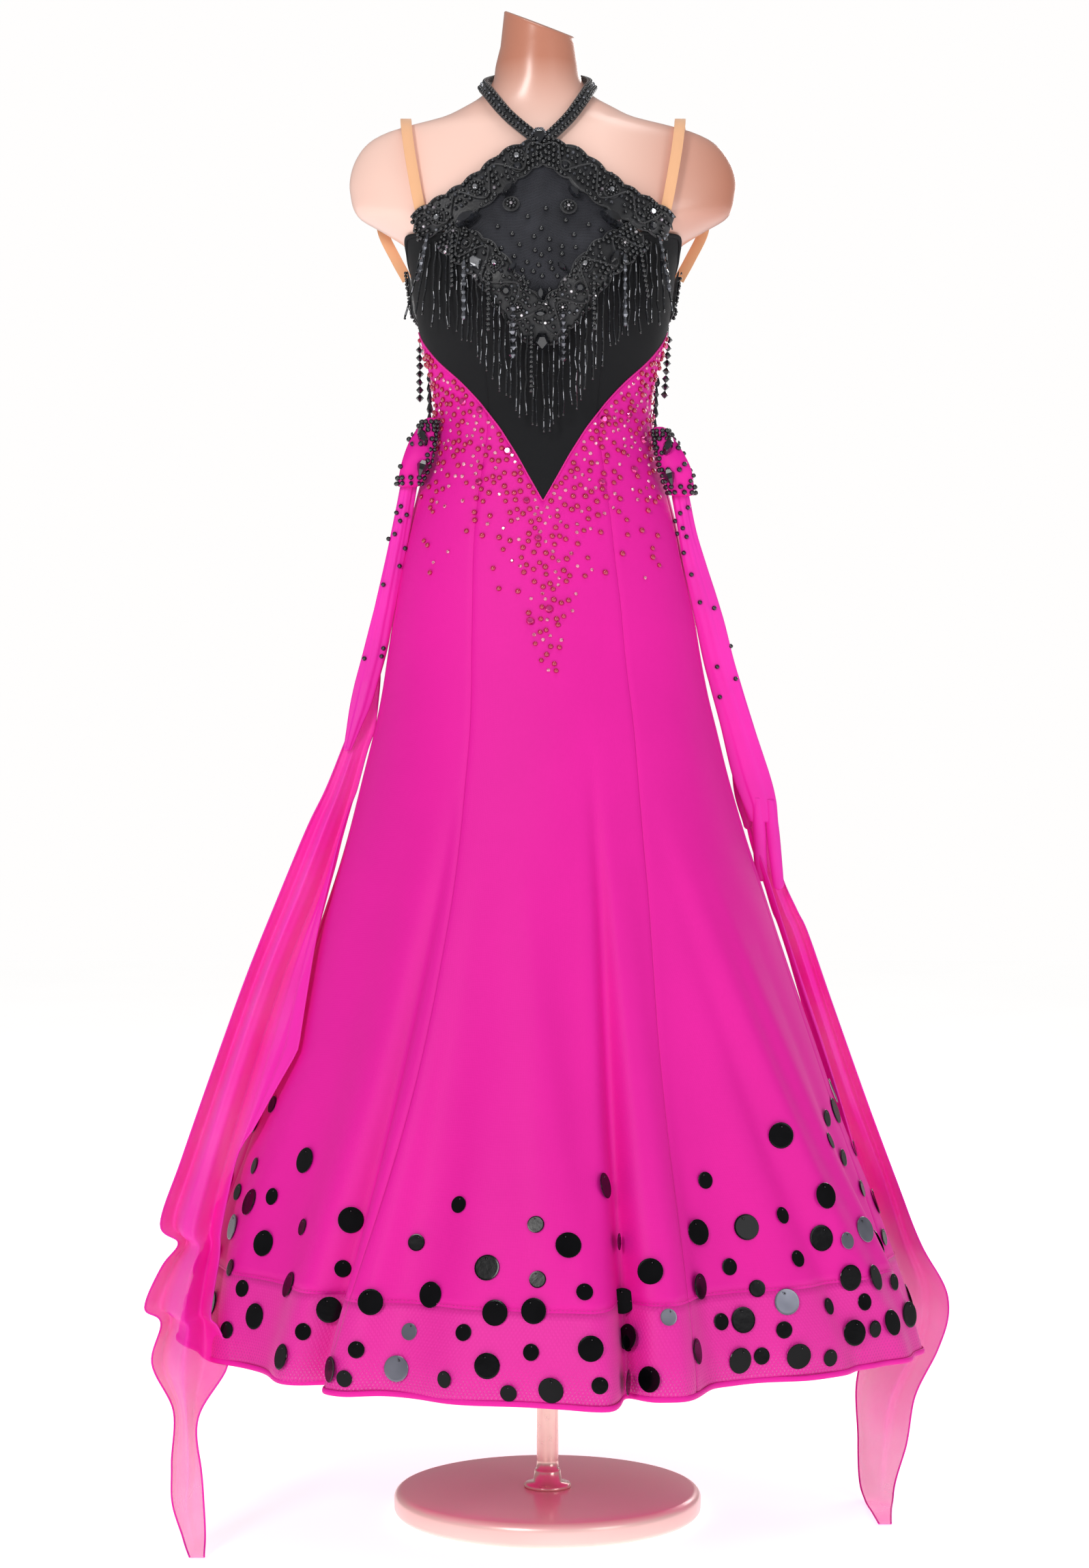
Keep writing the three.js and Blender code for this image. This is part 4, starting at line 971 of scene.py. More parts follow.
# sequins that show from the front: centimetres to the right and up, on the plane through the pole
LARGE_SEQUINS = (
    (-26.8, 39.0), (-21.8, 32.4), (-31.4, 29.8), (-34.8, 31.6), (-28.6, 25.2), (-19.6, 23.3),
    (-37.1, 23.2), (-32.4, 21.7), (-24.3, 22.5), (-29.5, 17.2), (-24.1, 15.8), (-6.7, 27.1),
    (2.3, 29.6), (6.3, 36.2), (-12.9, 24.1), (-5.8, 22.1), (-1.5, 22.3), (8.3, 23.3), (4.8, 18.1),
    (-6.7, 16.2), (-16.7, 15.9), (0.4, 13.5), (8.2, 14.4), (9.4, 19.4), (25.8, 41.8), (30.8, 35.1),
    (16.5, 31.0), (22.0, 31.6), (30.3, 30.4), (35.0, 31.3), (11.4, 26.7), (16.6, 25.0), (33.5, 26.0),
    (36.3, 26.0), (26.5, 23.3), (21.6, 21.3), (33.8, 19.9), (38.2, 21.0), (40.0, 21.9), (16.6, 17.8),
    (21.3, 16.8), (27.8, 17.3), (11.3, 14.7),
)
SMALL_SEQUINS = (
    (-30.5, 35.0), (-27.1, 31.6), (-34.3, 35.5), (-36.6, 28.8), (-22.7, 27.0), (-33.8, 24.8),
    (-35.5, 20.2), (-27.1, 20.0), (-21.2, 18.0), (-22.5, 14.8), (-9.8, 34.1), (-14.5, 29.9),
    (-1.3, 31.9), (7.2, 30.0), (-1.1, 25.8), (4.1, 24.4), (-15.3, 20.0), (-9.3, 19.9), (-1.8, 17.7),
    (8.3, 18.7), (-11.4, 14.7), (-4.3, 13.2), (5.8, 14.0), (31.3, 41.2), (17.4, 36.8), (34.8, 35.9),
    (26.0, 32.9), (33.2, 30.1), (37.2, 30.5), (20.1, 27.2), (27.7, 28.1), (23.2, 24.8), (38.3, 25.5),
    (13.4, 21.6), (19.2, 21.1), (31.1, 22.8), (35.1, 23.3), (26.2, 20.2), (36.2, 20.3), (23.7, 17.3),
    (31.3, 17.1), (-38.1, 27.3), (-38.7, 23.1), (-35.1, 27.1), (-32.4, 38.4),
)
# those of both that get the painted reflection, the lighter grey copy of the black sequins
PAINTED_LIT_SEQUINS = ((-34.8, 31.6), (-16.7, 15.9), (35.0, 31.3), (26.5, 23.3), (-15.3, 20.0), (33.2, 30.1),
               (13.4, 21.6))
LARGE, SMALL = 0.029, 0.019  # across a sequin
SEQUIN_GAP = 0.043  # between the middles of two
HOLE_AT = 0.33  # from a sequin's middle to its hole, in its widths


def sequin_template():
    """A thin round plate of unit width with a sewing hole near its edge."""
    sides = 28
    vertices, faces, _ = lathe([(0.485, -0.016), (0.5, 0), (0.485, 0.016), (0.44, 0.020)], sides)
    rows = 4
    vertices = list(map(tuple, vertices))
    rim = circle(0.055, 12) + (HOLE_AT, 0)
    first = len(vertices)
    vertices += [(x, y, 0.020) for x, y in rim] + [(x, y, -0.016) for x, y in rim]
    for layer, ring, flip in ((first, (rows - 1) * sides, False), (first + 12, 0, True)):
        outer = [ring + i for i in range(sides)]
        joined = bridge(np.array(vertices), outer, [layer + i for i in range(12)])
        faces += [tuple(reversed(f)) for f in joined] if flip else joined
    for i in range(12):
        k = (i + 1) % 12
        faces.append((first + k, first + i, first + 12 + i, first + 12 + k))
    return np.array(vertices), faces, False


def bridge(vertices, outer, inner):
    """Triangles between two loops that go round the same way, by the shorter of two steps."""
    start = min(range(len(outer)), key=lambda i: np.linalg.norm(vertices[outer[i]] - vertices[inner[0]]))
    outer = outer[start:] + outer[:start]
    i = j = 0
    faces = []
    while i < len(outer) or j < len(inner):
        a, b = outer[i % len(outer)], inner[j % len(inner)]
        a2, b2 = outer[(i + 1) % len(outer)], inner[(j + 1) % len(inner)]
        step_out = np.linalg.norm(vertices[a2] - vertices[b])
        step_in = np.linalg.norm(vertices[b2] - vertices[a])
        if j >= len(inner) or (i < len(outer) and step_out <= step_in):
            faces.append((a, a2, b))
            i += 1
        else:
            faces.append((b2, b, a))
            j += 1
    return faces


def sequin_frame(tree, place, normal, wide, dice):
    """A sequin that hangs from its hole and lies on the highest points of the cloth under it."""
    lean = Vector(normal) + Vector((0, 0, dice.uniform(-0.10, 0.04)))
    lean = lean + Vector((dice.uniform(-0.06, 0.06), dice.uniform(-0.06, 0.06), 0))
    n = np.array(lean.normalized())
    up = np.array([dice.uniform(-0.5, 0.5), 0, 1.0])
    frame_ = frames_at(place, n, up, wide)[0]
    gap, start, deepest, most = 0.0008, 0.02, 0.03, 0.007
    lift = gap
    for x, y in circle(0.5, 8):
        rim = place + frame_[:3, 0] * x + frame_[:3, 1] * y
        hit, _, _, away = tree.ray_cast(Vector(rim + n * start), Vector(-n), deepest)
        if hit is not None:
            lift = max(lift, start + gap - away)
    frame_[:3, 3] = place + n * min(lift, most)
    return frame_


def make_sequins(tree):
    dice = random.Random(11)
    template = sequin_template()
    dark, lit, thread = Parts(), Parts(), Parts()
    chosen = []

    # painted_lit puts a sequin in the lighter grey copy, a painted reflection
    def sew(place, normal, wide, painted_lit):
        frame_ = sequin_frame(tree, place, normal, wide, dice)
        (lit if painted_lit else dark).stamp(template, [frame_])
        hole = frame_[:3, 3] + frame_[:3, 0] * HOLE_AT + frame_[:3, 2] * 0.02
        thread.stamp(SMALL_BALL, frames_at(hole, frame_[:3, 2], frame_[:3, 0], 0.0016, (1, 1, 0.7)))
        chosen.append(place)

    for spots, wide in ((LARGE_SEQUINS, LARGE), (SMALL_SEQUINS, SMALL)):
        for spot in spots:
            found = seen_at(tree, *spot)
            if found:
                nearer = min(found[0][1], 0)
                sew(*found, wide * (1 - nearer / EYE.y), spot in PAINTED_LIT_SEQUINS)
    for _ in range(4200):  # the sides and the back, which the front does not show
        angle = dice.uniform(66, 294)
        high = 0.44 if abs(angle - 180) < 20 else 0.47
        z = 0.225 + (high - 0.225) * dice.random() ** 1.35
        wide = LARGE if dice.random() < 0.5 else SMALL
        place = dress_face(angle, z)
        if far_enough(place, chosen, SEQUIN_GAP):
            normal = face_normal(dress_face, np.array(angle), np.array(z))
            # a few of these get the painted reflection as well
            sew(place, normal, wide, dice.random() < 0.06)
    for parts, name, paint in ((dark, "sequins_black", SEQUIN), (lit, "sequins_painted_reflection", SEQUIN_PAINTED_LIT),
                               (thread, "sequin_stitches", BLACK_BEAD)):
        finish_piece(parts.make(name, paint), "beadwork")


STONE_GAP = 0.0067


def make_stones():
    """Pearls and crystals below the bodice's pointed edge, thinning downward, with a centre trail."""
    dice = random.Random(5)
    kinds = {"pearl": (Parts(), BALL, PEARL, 0.0060), "rose": (Parts(), CRYSTAL, ROSE_STONE, 0.0044),
             "pink": (Parts(), CRYSTAL, PINK_STONE, 0.0088)}
    chosen = []

    def sew(angle, z):
        roll = dice.random()
        kind = "pearl" if roll < 0.62 else "rose" if roll < 0.965 else "pink"
        place = dress_face(angle, z)
        if z > float(edge_height(LOWER_EDGE_ROWS, angle)) - 0.005 or not far_enough(place, chosen, STONE_GAP):
            return
        normal = face_normal(dress_face, np.array(angle), np.array(z))
        parts, template, _, size = kinds[kind]
        size = size * dice.uniform(0.88, 1.08)
        spin = (dice.uniform(-1, 1), 0, dice.uniform(-1, 1))
        parts.stamp(template, frames_at(place + normal * size * 0.2, normal, spin, size, (1, 1, 0.78)))
        chosen.append(place)

    for _ in range(3400):  # under the bodice's edges
        angle = dice.uniform(-90, 90)
        side = abs(angle) / 90
        reach = 0.017 + 0.030 * side
        drop = 0.006 + dice.expovariate(1 / reach)
        if drop < 0.16 and dice.random() < 0.62 + 0.38 * side ** 2:
            sew(angle, float(edge_height(LOWER_EDGE_ROWS, angle)) - drop)
    for _ in range(230):  # the triangle under the point
        down = dice.random() ** 1.4
        wide = 0.008 + 0.070 * (1 - down) ** 1.3
        z = 1.125 - 0.200 * down
        x = max(-1, min(1, dice.gauss(0, 0.5))) * wide + 0.001
        sew(float(angle_at(x, z)), z)
    for _ in range(46):  # strays further down
        z = dice.uniform(1.02, 1.14)
        sew(dice.uniform(-62, 62), z)
    for kind, (parts, _, paint, _) in kinds.items():
        finish_piece(parts.make(f"skirt_stones_{kind}", paint), "beadwork")


YOKE_PEARLS = (  # to the right and up, as the sequins
    (-2.2, 143.3), (-0.2, 144.2), (2.0, 142.9), (4.5, 142.4), (5.9, 141.8), (-5.5, 142.2),
    (-3.9, 141.4), (-0.7, 142.0), (-1.5, 141.1), (2.9, 141.3), (0.2, 140.8), (-3.1, 140.2),
    (-5.1, 139.8), (-1.4, 139.6), (0.2, 139.7), (1.6, 140.0), (3.1, 139.9), (4.6, 139.6),
    (-3.7, 138.9), (-0.7, 139.1), (1.6, 139.2), (0.3, 138.3), (-2.3, 138.3), (-1.0, 138.0),
    (-2.8, 137.4), (-1.6, 137.3), (0.5, 137.6), (-0.6, 136.8), (1.1, 136.8), (-2.7, 136.7),
    (-2.2, 136.1), (-3.2, 136.3), (1.8, 136.4), (0.2, 135.3), (1.4, 135.8), (-2.0, 135.2),
    (0.8, 134.7), (-2.8, 135.5),
)
# middle line of the trim on the yoke's upper edge, and of the garland on its lower edge: x, z, width
UPPER_TRIM = [(-0.002, 1.4945, 0.022), (0.010, 1.488, 0.026), (0.032, 1.476, 0.030), (0.058, 1.455, 0.030),
              (0.084, 1.436, 0.030), (0.112, 1.422, 0.028), (0.137, 1.412, 0.023)]
LOWER_TRIM = [(0.0, 1.303, 0.040), (0.022, 1.318, 0.034), (0.040, 1.338, 0.032),
              (0.057, 1.362, 0.032), (0.076, 1.380, 0.032), (0.104, 1.402, 0.026)]
# kind, width in metres, where it shows (right, up), and the turn of its long way in degrees
UPPER_JEWELS = (
    ("ring", 0.013, -3.4, 149.8, 0), ("ring", 0.013, -7.9, 146.4, 0), ("ring", 0.013, -12.0, 143.3, 0),
    ("ring", 0.013, 7.0, 146.1, 0), ("ring", 0.013, 11.4, 143.9, 0), ("round", 0.009, -3.3, 148.7, 0),
    ("round", 0.009, 1.9, 148.8, 0), ("round", 0.009, 11.4, 142.5, 0),
    ("leaf", 0.019, -4.3, 146.1, 50), ("leaf", 0.030, -8.7, 142.9, 28), ("leaf", 0.019, 2.9, 145.8, -50),
    ("leaf", 0.030, 6.9, 142.9, -32), ("flower", 0.012, -4.0, 144.6, 0), ("flower", 0.012, 2.3, 144.3, 0),
)
LOWER_JEWELS = (
    ("flower", 0.011, -10.1, 141.7, 0), ("round", 0.008, -8.8, 140.3, 0), ("kite", 0.017, -7.7, 138.2, -60),
    ("ring", 0.012, -5.8, 138.1, 0), ("round", 0.010, -4.6, 135.3, 0), ("flower", 0.010, -3.3, 133.5, 0),
    ("leaf", 0.014, -0.8, 132.8, 0), ("drop", 0.021, -0.6, 129.8, -90), ("flower", 0.011, 8.2, 140.3, 0),
    ("leaf", 0.018, 7.0, 138.7, 62), ("ring", 0.012, 4.1, 138.0, 0), ("round", 0.010, 3.6, 135.6, 0),
    ("flower", 0.010, 1.7, 133.5, 0), ("leaf", 0.016, -0.8, 135.0, 90), ("leaf", 0.014, -4.0, 137.6, 45),
    ("leaf", 0.014, 1.7, 137.7, -45),
)


# a jewel of one stone: what it is made of, its template
JEWEL_STONES = {"round": ("jet", CRYSTAL), "leaf": ("jet", MARQUISE), "drop": ("jet", KITE),
                "kite": ("mirror", KITE)}
# a jewel of a stone in a ring of beads: the stone and its width, the ring's radius, the beads' count and size
JEWEL_RINGS = {"ring": ("mirror", 0.62, 0.46, 11, 0.22), "flower": ("pale", 0.36, 0.36, 7, 0.30)}


class Beadwork:
    """The beads of one trim, gathered by what they are made of."""

    def __init__(self):
        self.kinds = {"beads": (Parts(), BLACK_BEAD), "cords": (Parts(), CORD_BLACK),
                      "smoke": (Parts(), DARK_STONE), "mirror": (Parts(), MIRROR),
                      "pale": (Parts(), CLEAR_STONE), "jet": (Parts(), JET)}
        self.kept = []

    def stamp(self, kind, template, frames):
        self.kinds[kind][0].stamp(template, frames)

    def jewel(self, kind, wide, place, normal, turn):
        """A stone or a ringed stone; the round ones are on a small corded plate."""
        a = math.radians(turn)
        across = unit(np.cross([0, 0, 1.0], normal))
        up = np.cross(normal, across)
        along = across * math.cos(a) + up * math.sin(a)
        self.kept.append((place, wide / 2))
        raised = place + normal * 0.0030
        other = np.cross(normal, along)
        if kind in ("ring", "flower", "round"):
            loop = [place + (along * x + other * y) * wide * 0.66 for x, y in circle(1, 20)]
            self.cord(np.array(loop), np.tile(normal, (20, 1)), 0.0012, True)
            plate = frames_at(place - normal * 0.001, normal, along, wide * 1.3, (1, 1, 0.05))
            self.stamp("cords", BALL, plate)
        if kind in JEWEL_STONES:
            self.stamp(*JEWEL_STONES[kind], frames_at(raised, normal, along, wide))
        else:
            stone, share, radius, count, size = JEWEL_RINGS[kind]
            self.stamp(stone, CRYSTAL, frames_at(raised, normal, along, wide * share))
            spots = [place + normal * 0.0025 + along * x + other * y
                     for x, y in circle(wide * radius, count)]
            self.stamp("beads", BALL, frames_at(spots, normal, along, wide * size))

    def fill(self, face, wide, long_, size, dice, across_of):
        """Rows of beads over a patch face(s, t), s along from 0 to 1 and t across from -0.5 to 0.5."""
        rows = max(1, int(wide / size))
        count = int(long_ / (size * 1.06))
        for j in range(rows + 1):
            for i in range(count + 1):
                s = (i + (j % 2) / 2 + dice.uniform(-0.15, 0.15)) / (count + 1)
                t = (j / rows - 0.5) * across_of(s) + dice.uniform(-0.02, 0.02)
                place, normal = face(min(max(s, 0), 1), t)
                if any(np.linalg.norm(place - q) < r + size * 0.3 for q, r in self.kept):
                    continue
                roll = dice.random()
                if roll < 0.14:
                    continue
                lift = place + normal * (0.002 + dice.uniform(-0.0003, 0.0006))
                if roll < 0.26:
                    spin = (dice.uniform(-1, 1), 0.1, dice.uniform(-1, 1))
                    self.stamp("pale" if roll < 0.165 else "smoke", CRYSTAL,
                               frames_at(lift, normal, spin, size * 0.8))
                else:
                    self.stamp("beads", BALL, frames_at(lift, normal, (1, 0, 0.1),
                                                        size * dice.uniform(0.72, 0.95)))

    def cord(self, points, normals, radius, closed=False):
        self.kinds["cords"][0].add(*sweep(points, normals, circle(radius, 6), closed))

    def finish(self, name, *nodes):
        for kind, (parts, paint) in self.kinds.items():
            if parts.count:
                finish_piece(parts.make(f"{name}_{kind}", paint), "beadwork", *nodes)
                nodes = ()


def mirrored(rows):
    return [(-x, *rest) for x, *rest in rows[::-1] if x > 0] + list(rows)


def flipped(rows):
    return [(-x, *rest) for x, *rest in rows[::-1]]


def trim_points(rows, s, t, out):
    """Points of a trim: s runs along its middle line and t across it."""
    first, last = rows[0][0], rows[-1][0]
    s, t = np.broadcast_arrays(np.asarray(s, float), np.asarray(t, float))
    x = first + (last - first) * s
    before, after = np.maximum(x - 0.001, first), np.minimum(x + 0.001, last)
    slope = np.arctan2(sample(rows, after, 1) - sample(rows, before, 1), after - before)
    across = t * sample(rows, x, 2)
    return on_chest(x + MIDDLE_X - across * np.sin(slope), sample(rows, x, 1) + across * np.cos(slope), out)


def make_trims(chest):
    """The two upper trims and the garland: net, jewels, beads and cords."""
    for name, rows, jewels, loops, node in (
        ("upper_trim_left", flipped(UPPER_TRIM), [j for j in UPPER_JEWELS if j[2] < -0.5], 7,
         "applique_upper_left"),
        ("upper_trim_right", UPPER_TRIM, [j for j in UPPER_JEWELS if j[2] > -0.5], 7,
         "applique_upper_right"),
        ("lower_garland", mirrored(LOWER_TRIM), LOWER_JEWELS, 14, "applique_lower"),
    ):
        dice = random.Random(len(name))
        work = Beadwork()
        s = np.linspace(0, 1, 16 * loops + 1)[None, :]
        t = np.linspace(-0.62, 0.62, 11)[:, None] * (0.84 + 0.16 * np.abs(np.sin(math.pi * loops * s)))
        points = trim_points(rows, s, t, 0.0026)
        net = cloth_shell(f"{name}_net", points, CORD_BLACK, 0.0012)
        finish_piece(net, "beadwork", node)
        middle = trim_points(rows, s[0], 0 * s[0], 0.003)
        long_ = row_length(middle)
        for kind, wide, right, up, turn in jewels:
            found = seen_at(chest, right, up)
            if found:
                work.jewel(kind, wide, found[0] + found[1] * 0.0035, found[1], turn)

        def face(s_, t_, rows=rows):
            p = trim_points(rows, [s_, s_], [t_, t_], 0.0030)[0]
            q = trim_points(rows, [s_, s_], [t_, t_], 0.0040)[0]
            return p, unit(q - p)

        wide = float(np.mean([row[2] for row in rows]))
        work.fill(face, wide * 1.1, long_, 0.0056, dice,
                  lambda s_: 0.94 + 0.16 * abs(math.sin(math.pi * loops * s_)))
        wander = np.sin(math.pi * loops * s[0])
        bow = 0.52 + 0.10 * np.abs(wander)
        for across, out, radius in ((-bow, 0.0040, 0.0011), (bow, 0.0040, 0.0011),
                                    (0.40 * wander, 0.0062, 0.0009)):
            line = trim_points(rows, s[0], across, out)
            work.cord(line, unit(trim_points(rows, s[0], across, out + 0.001) - line), radius)
        work.finish(name)


def make_side_trims():
    """The beaded patches at the side backs, under the bodice's upper edge."""
    first, span, tall, out = 93, 19, 0.046, 0.0042
    for side, sign in (("left", -1), ("right", 1)):
        dice = random.Random(31 + sign)
        work = Beadwork()
        angle = sign * np.linspace(first, first + span, 24)[None, ::sign]
        top = edge_height(UPPER_EDGE_ROWS, angle)
        z = top - tall + tall * np.linspace(0, 1, 20)[:, None]
        angle = angle + 0 * z
        points = moved_out(dress_face, angle, z, np.full(z.shape, out))
        net = cloth_shell(f"side_trim_{side}_net", points, CORD_BLACK, 0.0014)
        finish_piece(net, "beadwork", f"applique_side_{side}")

        def face(s_, t_, sign=sign):
            a = sign * (first + span * s_)
            z_ = float(edge_height(UPPER_EDGE_ROWS, a)) - tall / 2 + tall * t_
            p = moved_out(dress_face, np.array(a), np.array(z_), out)
            return p, face_normal(dress_face, np.array(a), np.array(z_))

        work.fill(face, 0.040, 0.048, 0.0046, dice, lambda s_: 0.9)
        work.finish(f"side_trim_{side}")


# x, height of the fringe's top and of its low end
FRINGE_REACH = mirrored([
    (0.0, 1.279, 1.187), (0.016, 1.282, 1.203), (0.035, 1.298, 1.220), (0.055, 1.328, 1.250),
    (0.072, 1.347, 1.276), (0.092, 1.370, 1.296), (0.112, 1.388, 1.308), (0.134, 1.382, 1.322),
])
FRINGE_PARTS = (("left", -0.134, -0.047), ("centre", -0.046, 0.046), ("right", 0.047, 0.134))
STRAND_GAP = 0.0058
BUGLE_PITCH = 0.0125
# strands of larger beads in the fringe: what, then right and up at its top and at its low end
BEAD_STRANDS = (
    ("round", -10.5, 141.3, -10.5, 135.4), ("round", -6.5, 137.3, -6.5, 130.3),
    ("round", -1.8, 131.3, -1.8, 123.6), ("round", 5.1, 137.3, 5.1, 130.4),
    ("round", 10.1, 140.3, 11.0, 134.1), ("drop", -13.2, 141.3, -14.2, 135.8),
    ("drop", -9.2, 138.4, -9.2, 131.8), ("bicone", -3.8, 133.6, -3.8, 127.3),
    ("bicone", 1.7, 132.8, 1.7, 127.0), ("drop", 8.5, 139.1, 8.5, 131.0),
    ("drop", 12.3, 141.1, 13.3, 134.6),
)
# the loose strands at the side backs, as BEAD_STRANDS
SIDE_STRANDS = (
    ("side_bicone", -14.1, 129.1, -14.1, 122.9), ("side_drop", -13.0, 126.3, -13.0, 120.6),
    ("side_bicone", 13.4, 130.2, 12.9, 123.3), ("side_drop", 12.1, 125.8, 11.8, 120.1),
)
# what: its template, width and pitch
BEAD_SHAPES = {"round": (BALL, 0.0050, 0.0053), "drop": (DROP, 0.0070, 0.0092),
               "bicone": (BICONE, 0.0088, 0.0080), "side_bicone": (BICONE, 0.0092, 0.0088),
               "side_drop": (DROP, 0.0084, 0.0118)}


def fringe_line(x, dice):
    """A strand of the fringe from its top down: it hangs off the bust, and flares near the arms."""
    top, low = float(sample(FRINGE_REACH, x, 1)) + 0.006, float(sample(FRINGE_REACH, x, 2))
    low += dice.uniform(-0.008, 0.006)
    joints = max(2, round((top - low) / BUGLE_PITCH))
    z = np.linspace(top, low, joints + 1)
    y = np.minimum.accumulate(on_chest(np.full(z.shape, x + MIDDLE_X), z, 0.0048)[:, 1])
    down = np.linspace(0, 1, joints + 1)
    widest = 0.017 if x < 0 else 0.007
    flare = math.copysign(widest * max(0, (abs(x) - 0.10) / 0.034) ** 2, x)
    swing = dice.uniform(-0.0022, 0.0022)
    sway = x + MIDDLE_X + flare * down ** 1.4 + swing * down
    sway = sway + np.array([dice.uniform(-0.0011, 0.0011) for _ in z])
    return np.stack([sway, y - dice.uniform(0, 0.0016) - 0.001 * down, z], -1)


def make_fringe():
    """The bugle fringe: glass tubes with painted highlights, thin pale strips in front of their edges, and a
    seed bead between each two.
    """
    for part, first, last in FRINGE_PARTS:
        dice = random.Random(ord(part[0]))
        glass, lit, seeds = Parts(), Parts(), Parts()
        count = round((last - first) / STRAND_GAP)
        for i in range(count + 1):
            line = fringe_line(first + (last - first) * i / count, dice)
            for p, q in zip(line, line[1:]):
                middle, way = (p + q) / 2, q - p
                long_ = np.linalg.norm(way) - 0.0012
                glass.stamp(BUGLE, frames_at(middle, way, (1, 0.1, 0), 1, (0.0023, 0.0023, long_)))
                # painted highlight: a thin pale strip just in front of the bugle
                if dice.random() < 0.46:
                    size = (0.0009, 0.0009, long_ * dice.uniform(0.5, 0.9))
                    lit.stamp(BUGLE, frames_at(middle - (0, 0.0009, 0), way, (1, 0.1, 0), 1, size))
            upward = np.tile([0, 0, 1.0], (len(line), 1))
            seeds.stamp(SMALL_BALL, frames_at(line, upward, (1, 0.1, 0), 0.0021))
            seeds.stamp(BALL, frames_at(line[-1] - (0, 0, 0.0015), (0, 0, 1), (1, 0.1, 0), 0.0028))
        finish_piece(glass.make(f"fringe_{part}_bugles", BLACK_BEAD), "beadwork", f"fringe_{part}")
        finish_piece(seeds.make(f"fringe_{part}_seeds", BLACK_BEAD), "beadwork")
        finish_piece(lit.make(f"fringe_{part}_painted_highlights", PAINTED_GLINT), "beadwork")


def make_strands(chest):
    """The strands of larger beads, in the fringe and at the side backs."""
    beads, stones = Parts(), Parts()
    for what, *ends in BEAD_STRANDS:
        p, q = seen_at(chest, *ends[:2])[0], seen_at(chest, *ends[2:])[0]
        q[1] = min(p[1], q[1])
        string_beads(beads if what == "round" else stones, what, p - (0, 0.008, 0), q - (0, 0.0105, 0))
    for what, *ends in SIDE_STRANDS:
        p, q = at_depth(*ends[:2], 0.030), at_depth(*ends[2:], 0.033)
        string_beads(beads, what, p, q)
        beads.add(*tube_mesh([p + (0, 0, 0.045), p + (0, 0, 0.02), (p + q) / 2, q], 0.0006, 6))
    finish_piece(beads.make("strand_beads", BLACK_BEAD), "beadwork", "bead_strands_left",
                 "bead_strands_right")
    finish_piece(stones.make("strand_stones", DARK_STONE), "beadwork")


def make_yoke_pearls(chest):
    pearls = Parts()
    for spot in YOKE_PEARLS:
        place, normal = seen_at(chest, *spot)
        pearls.stamp(BALL, frames_at(place + normal * 0.0016, normal, (1, 0, 0.2), 0.0056, (1, 1, 0.85)))
    finish_piece(pearls.make("yoke_pearls", BLACK_BEAD), "beadwork")


def at_depth(right, up, y):
    """The place at a depth that shows at (right, up), as seen_at."""
    aim = np.array([right / 100, 0, up / 100]) - np.array(EYE)
    return np.array(EYE) + aim * (y - EYE.y) / aim[1]


def string_beads(parts, what, p, q):
    template, wide, pitch = BEAD_SHAPES[what]
    long_ = np.linalg.norm(q - p)
    count = max(2, round(long_ / pitch))
    for i in range(count):
        spot = p + (q - p) * (i + 0.5) / count
        size = (wide, wide, pitch * 0.98 if what != "round" else wide)
        parts.stamp(template, frames_at(spot, p - q, (1, 0.2 * (i % 3), 0), 1, size))


# ---------------------------------------------------------------- neckband, jewel and straps
# degrees from the front, height
NECKBAND_ROWS = [(1, 1.502), (9, 1.522), (22, 1.5415), (46, 1.559), (84, 1.573), (132, 1.591),
                 (180, 1.604)]


BEAD_PITCH = 0.0052


def make_neckband():
    """A corded strip with two rows of beads and a row of stones between them."""
    angles = np.linspace(1.5, 358.5, 240)
    z = edge_height(NECKBAND_ROWS, angles)
    points = moved_out(form_face, angles, z, np.full(240, 0.0066))
    for _ in range(60):  # smooths the strip's course
        points[1:-1] = (points[:-2] + points[1:-1] * 2 + points[2:]) / 4
    normals = face_normal(form_face, angles, z)
    outline = np.array([(-1, 0), (-0.94, 0.8), (-0.6, 1), (0.6, 1), (0.94, 0.8), (1, 0)][::-1])
    strip = sweep(points, normals, outline * (0.0072, 0.0018))
    finish_piece(new_mesh("neck_strip", *strip, CORD_BLACK), "beadwork", "neckband")
    dice = random.Random(3)
    work = Beadwork()
    along = unit(np.gradient(points, axis=0))
    side = unit(np.cross(along, normals))
    reach = reach_along(points)
    for start, offset in ((0.002, -0.0041), (0.0045, 0.0041)):
        at = np.arange(start, reach[-1], BEAD_PITCH)
        spots = at_reach(at, reach, points + side * offset + normals * 0.0022)
        facing, ahead = at_reach(at, reach, normals), at_reach(at, reach, along)
        work.stamp("beads", BALL, frames_at(spots, facing, ahead, 0.0050))
    at = np.arange(0.004, reach[-1], 2 * BEAD_PITCH)
    spots, facing = at_reach(at, reach, points + normals * 0.0036), at_reach(at, reach, normals)
    work.stamp("smoke", CRYSTAL, frames_at(spots, facing, (0.3, dice.random(), 1), 0.0034))
    work.finish("neck_beads")


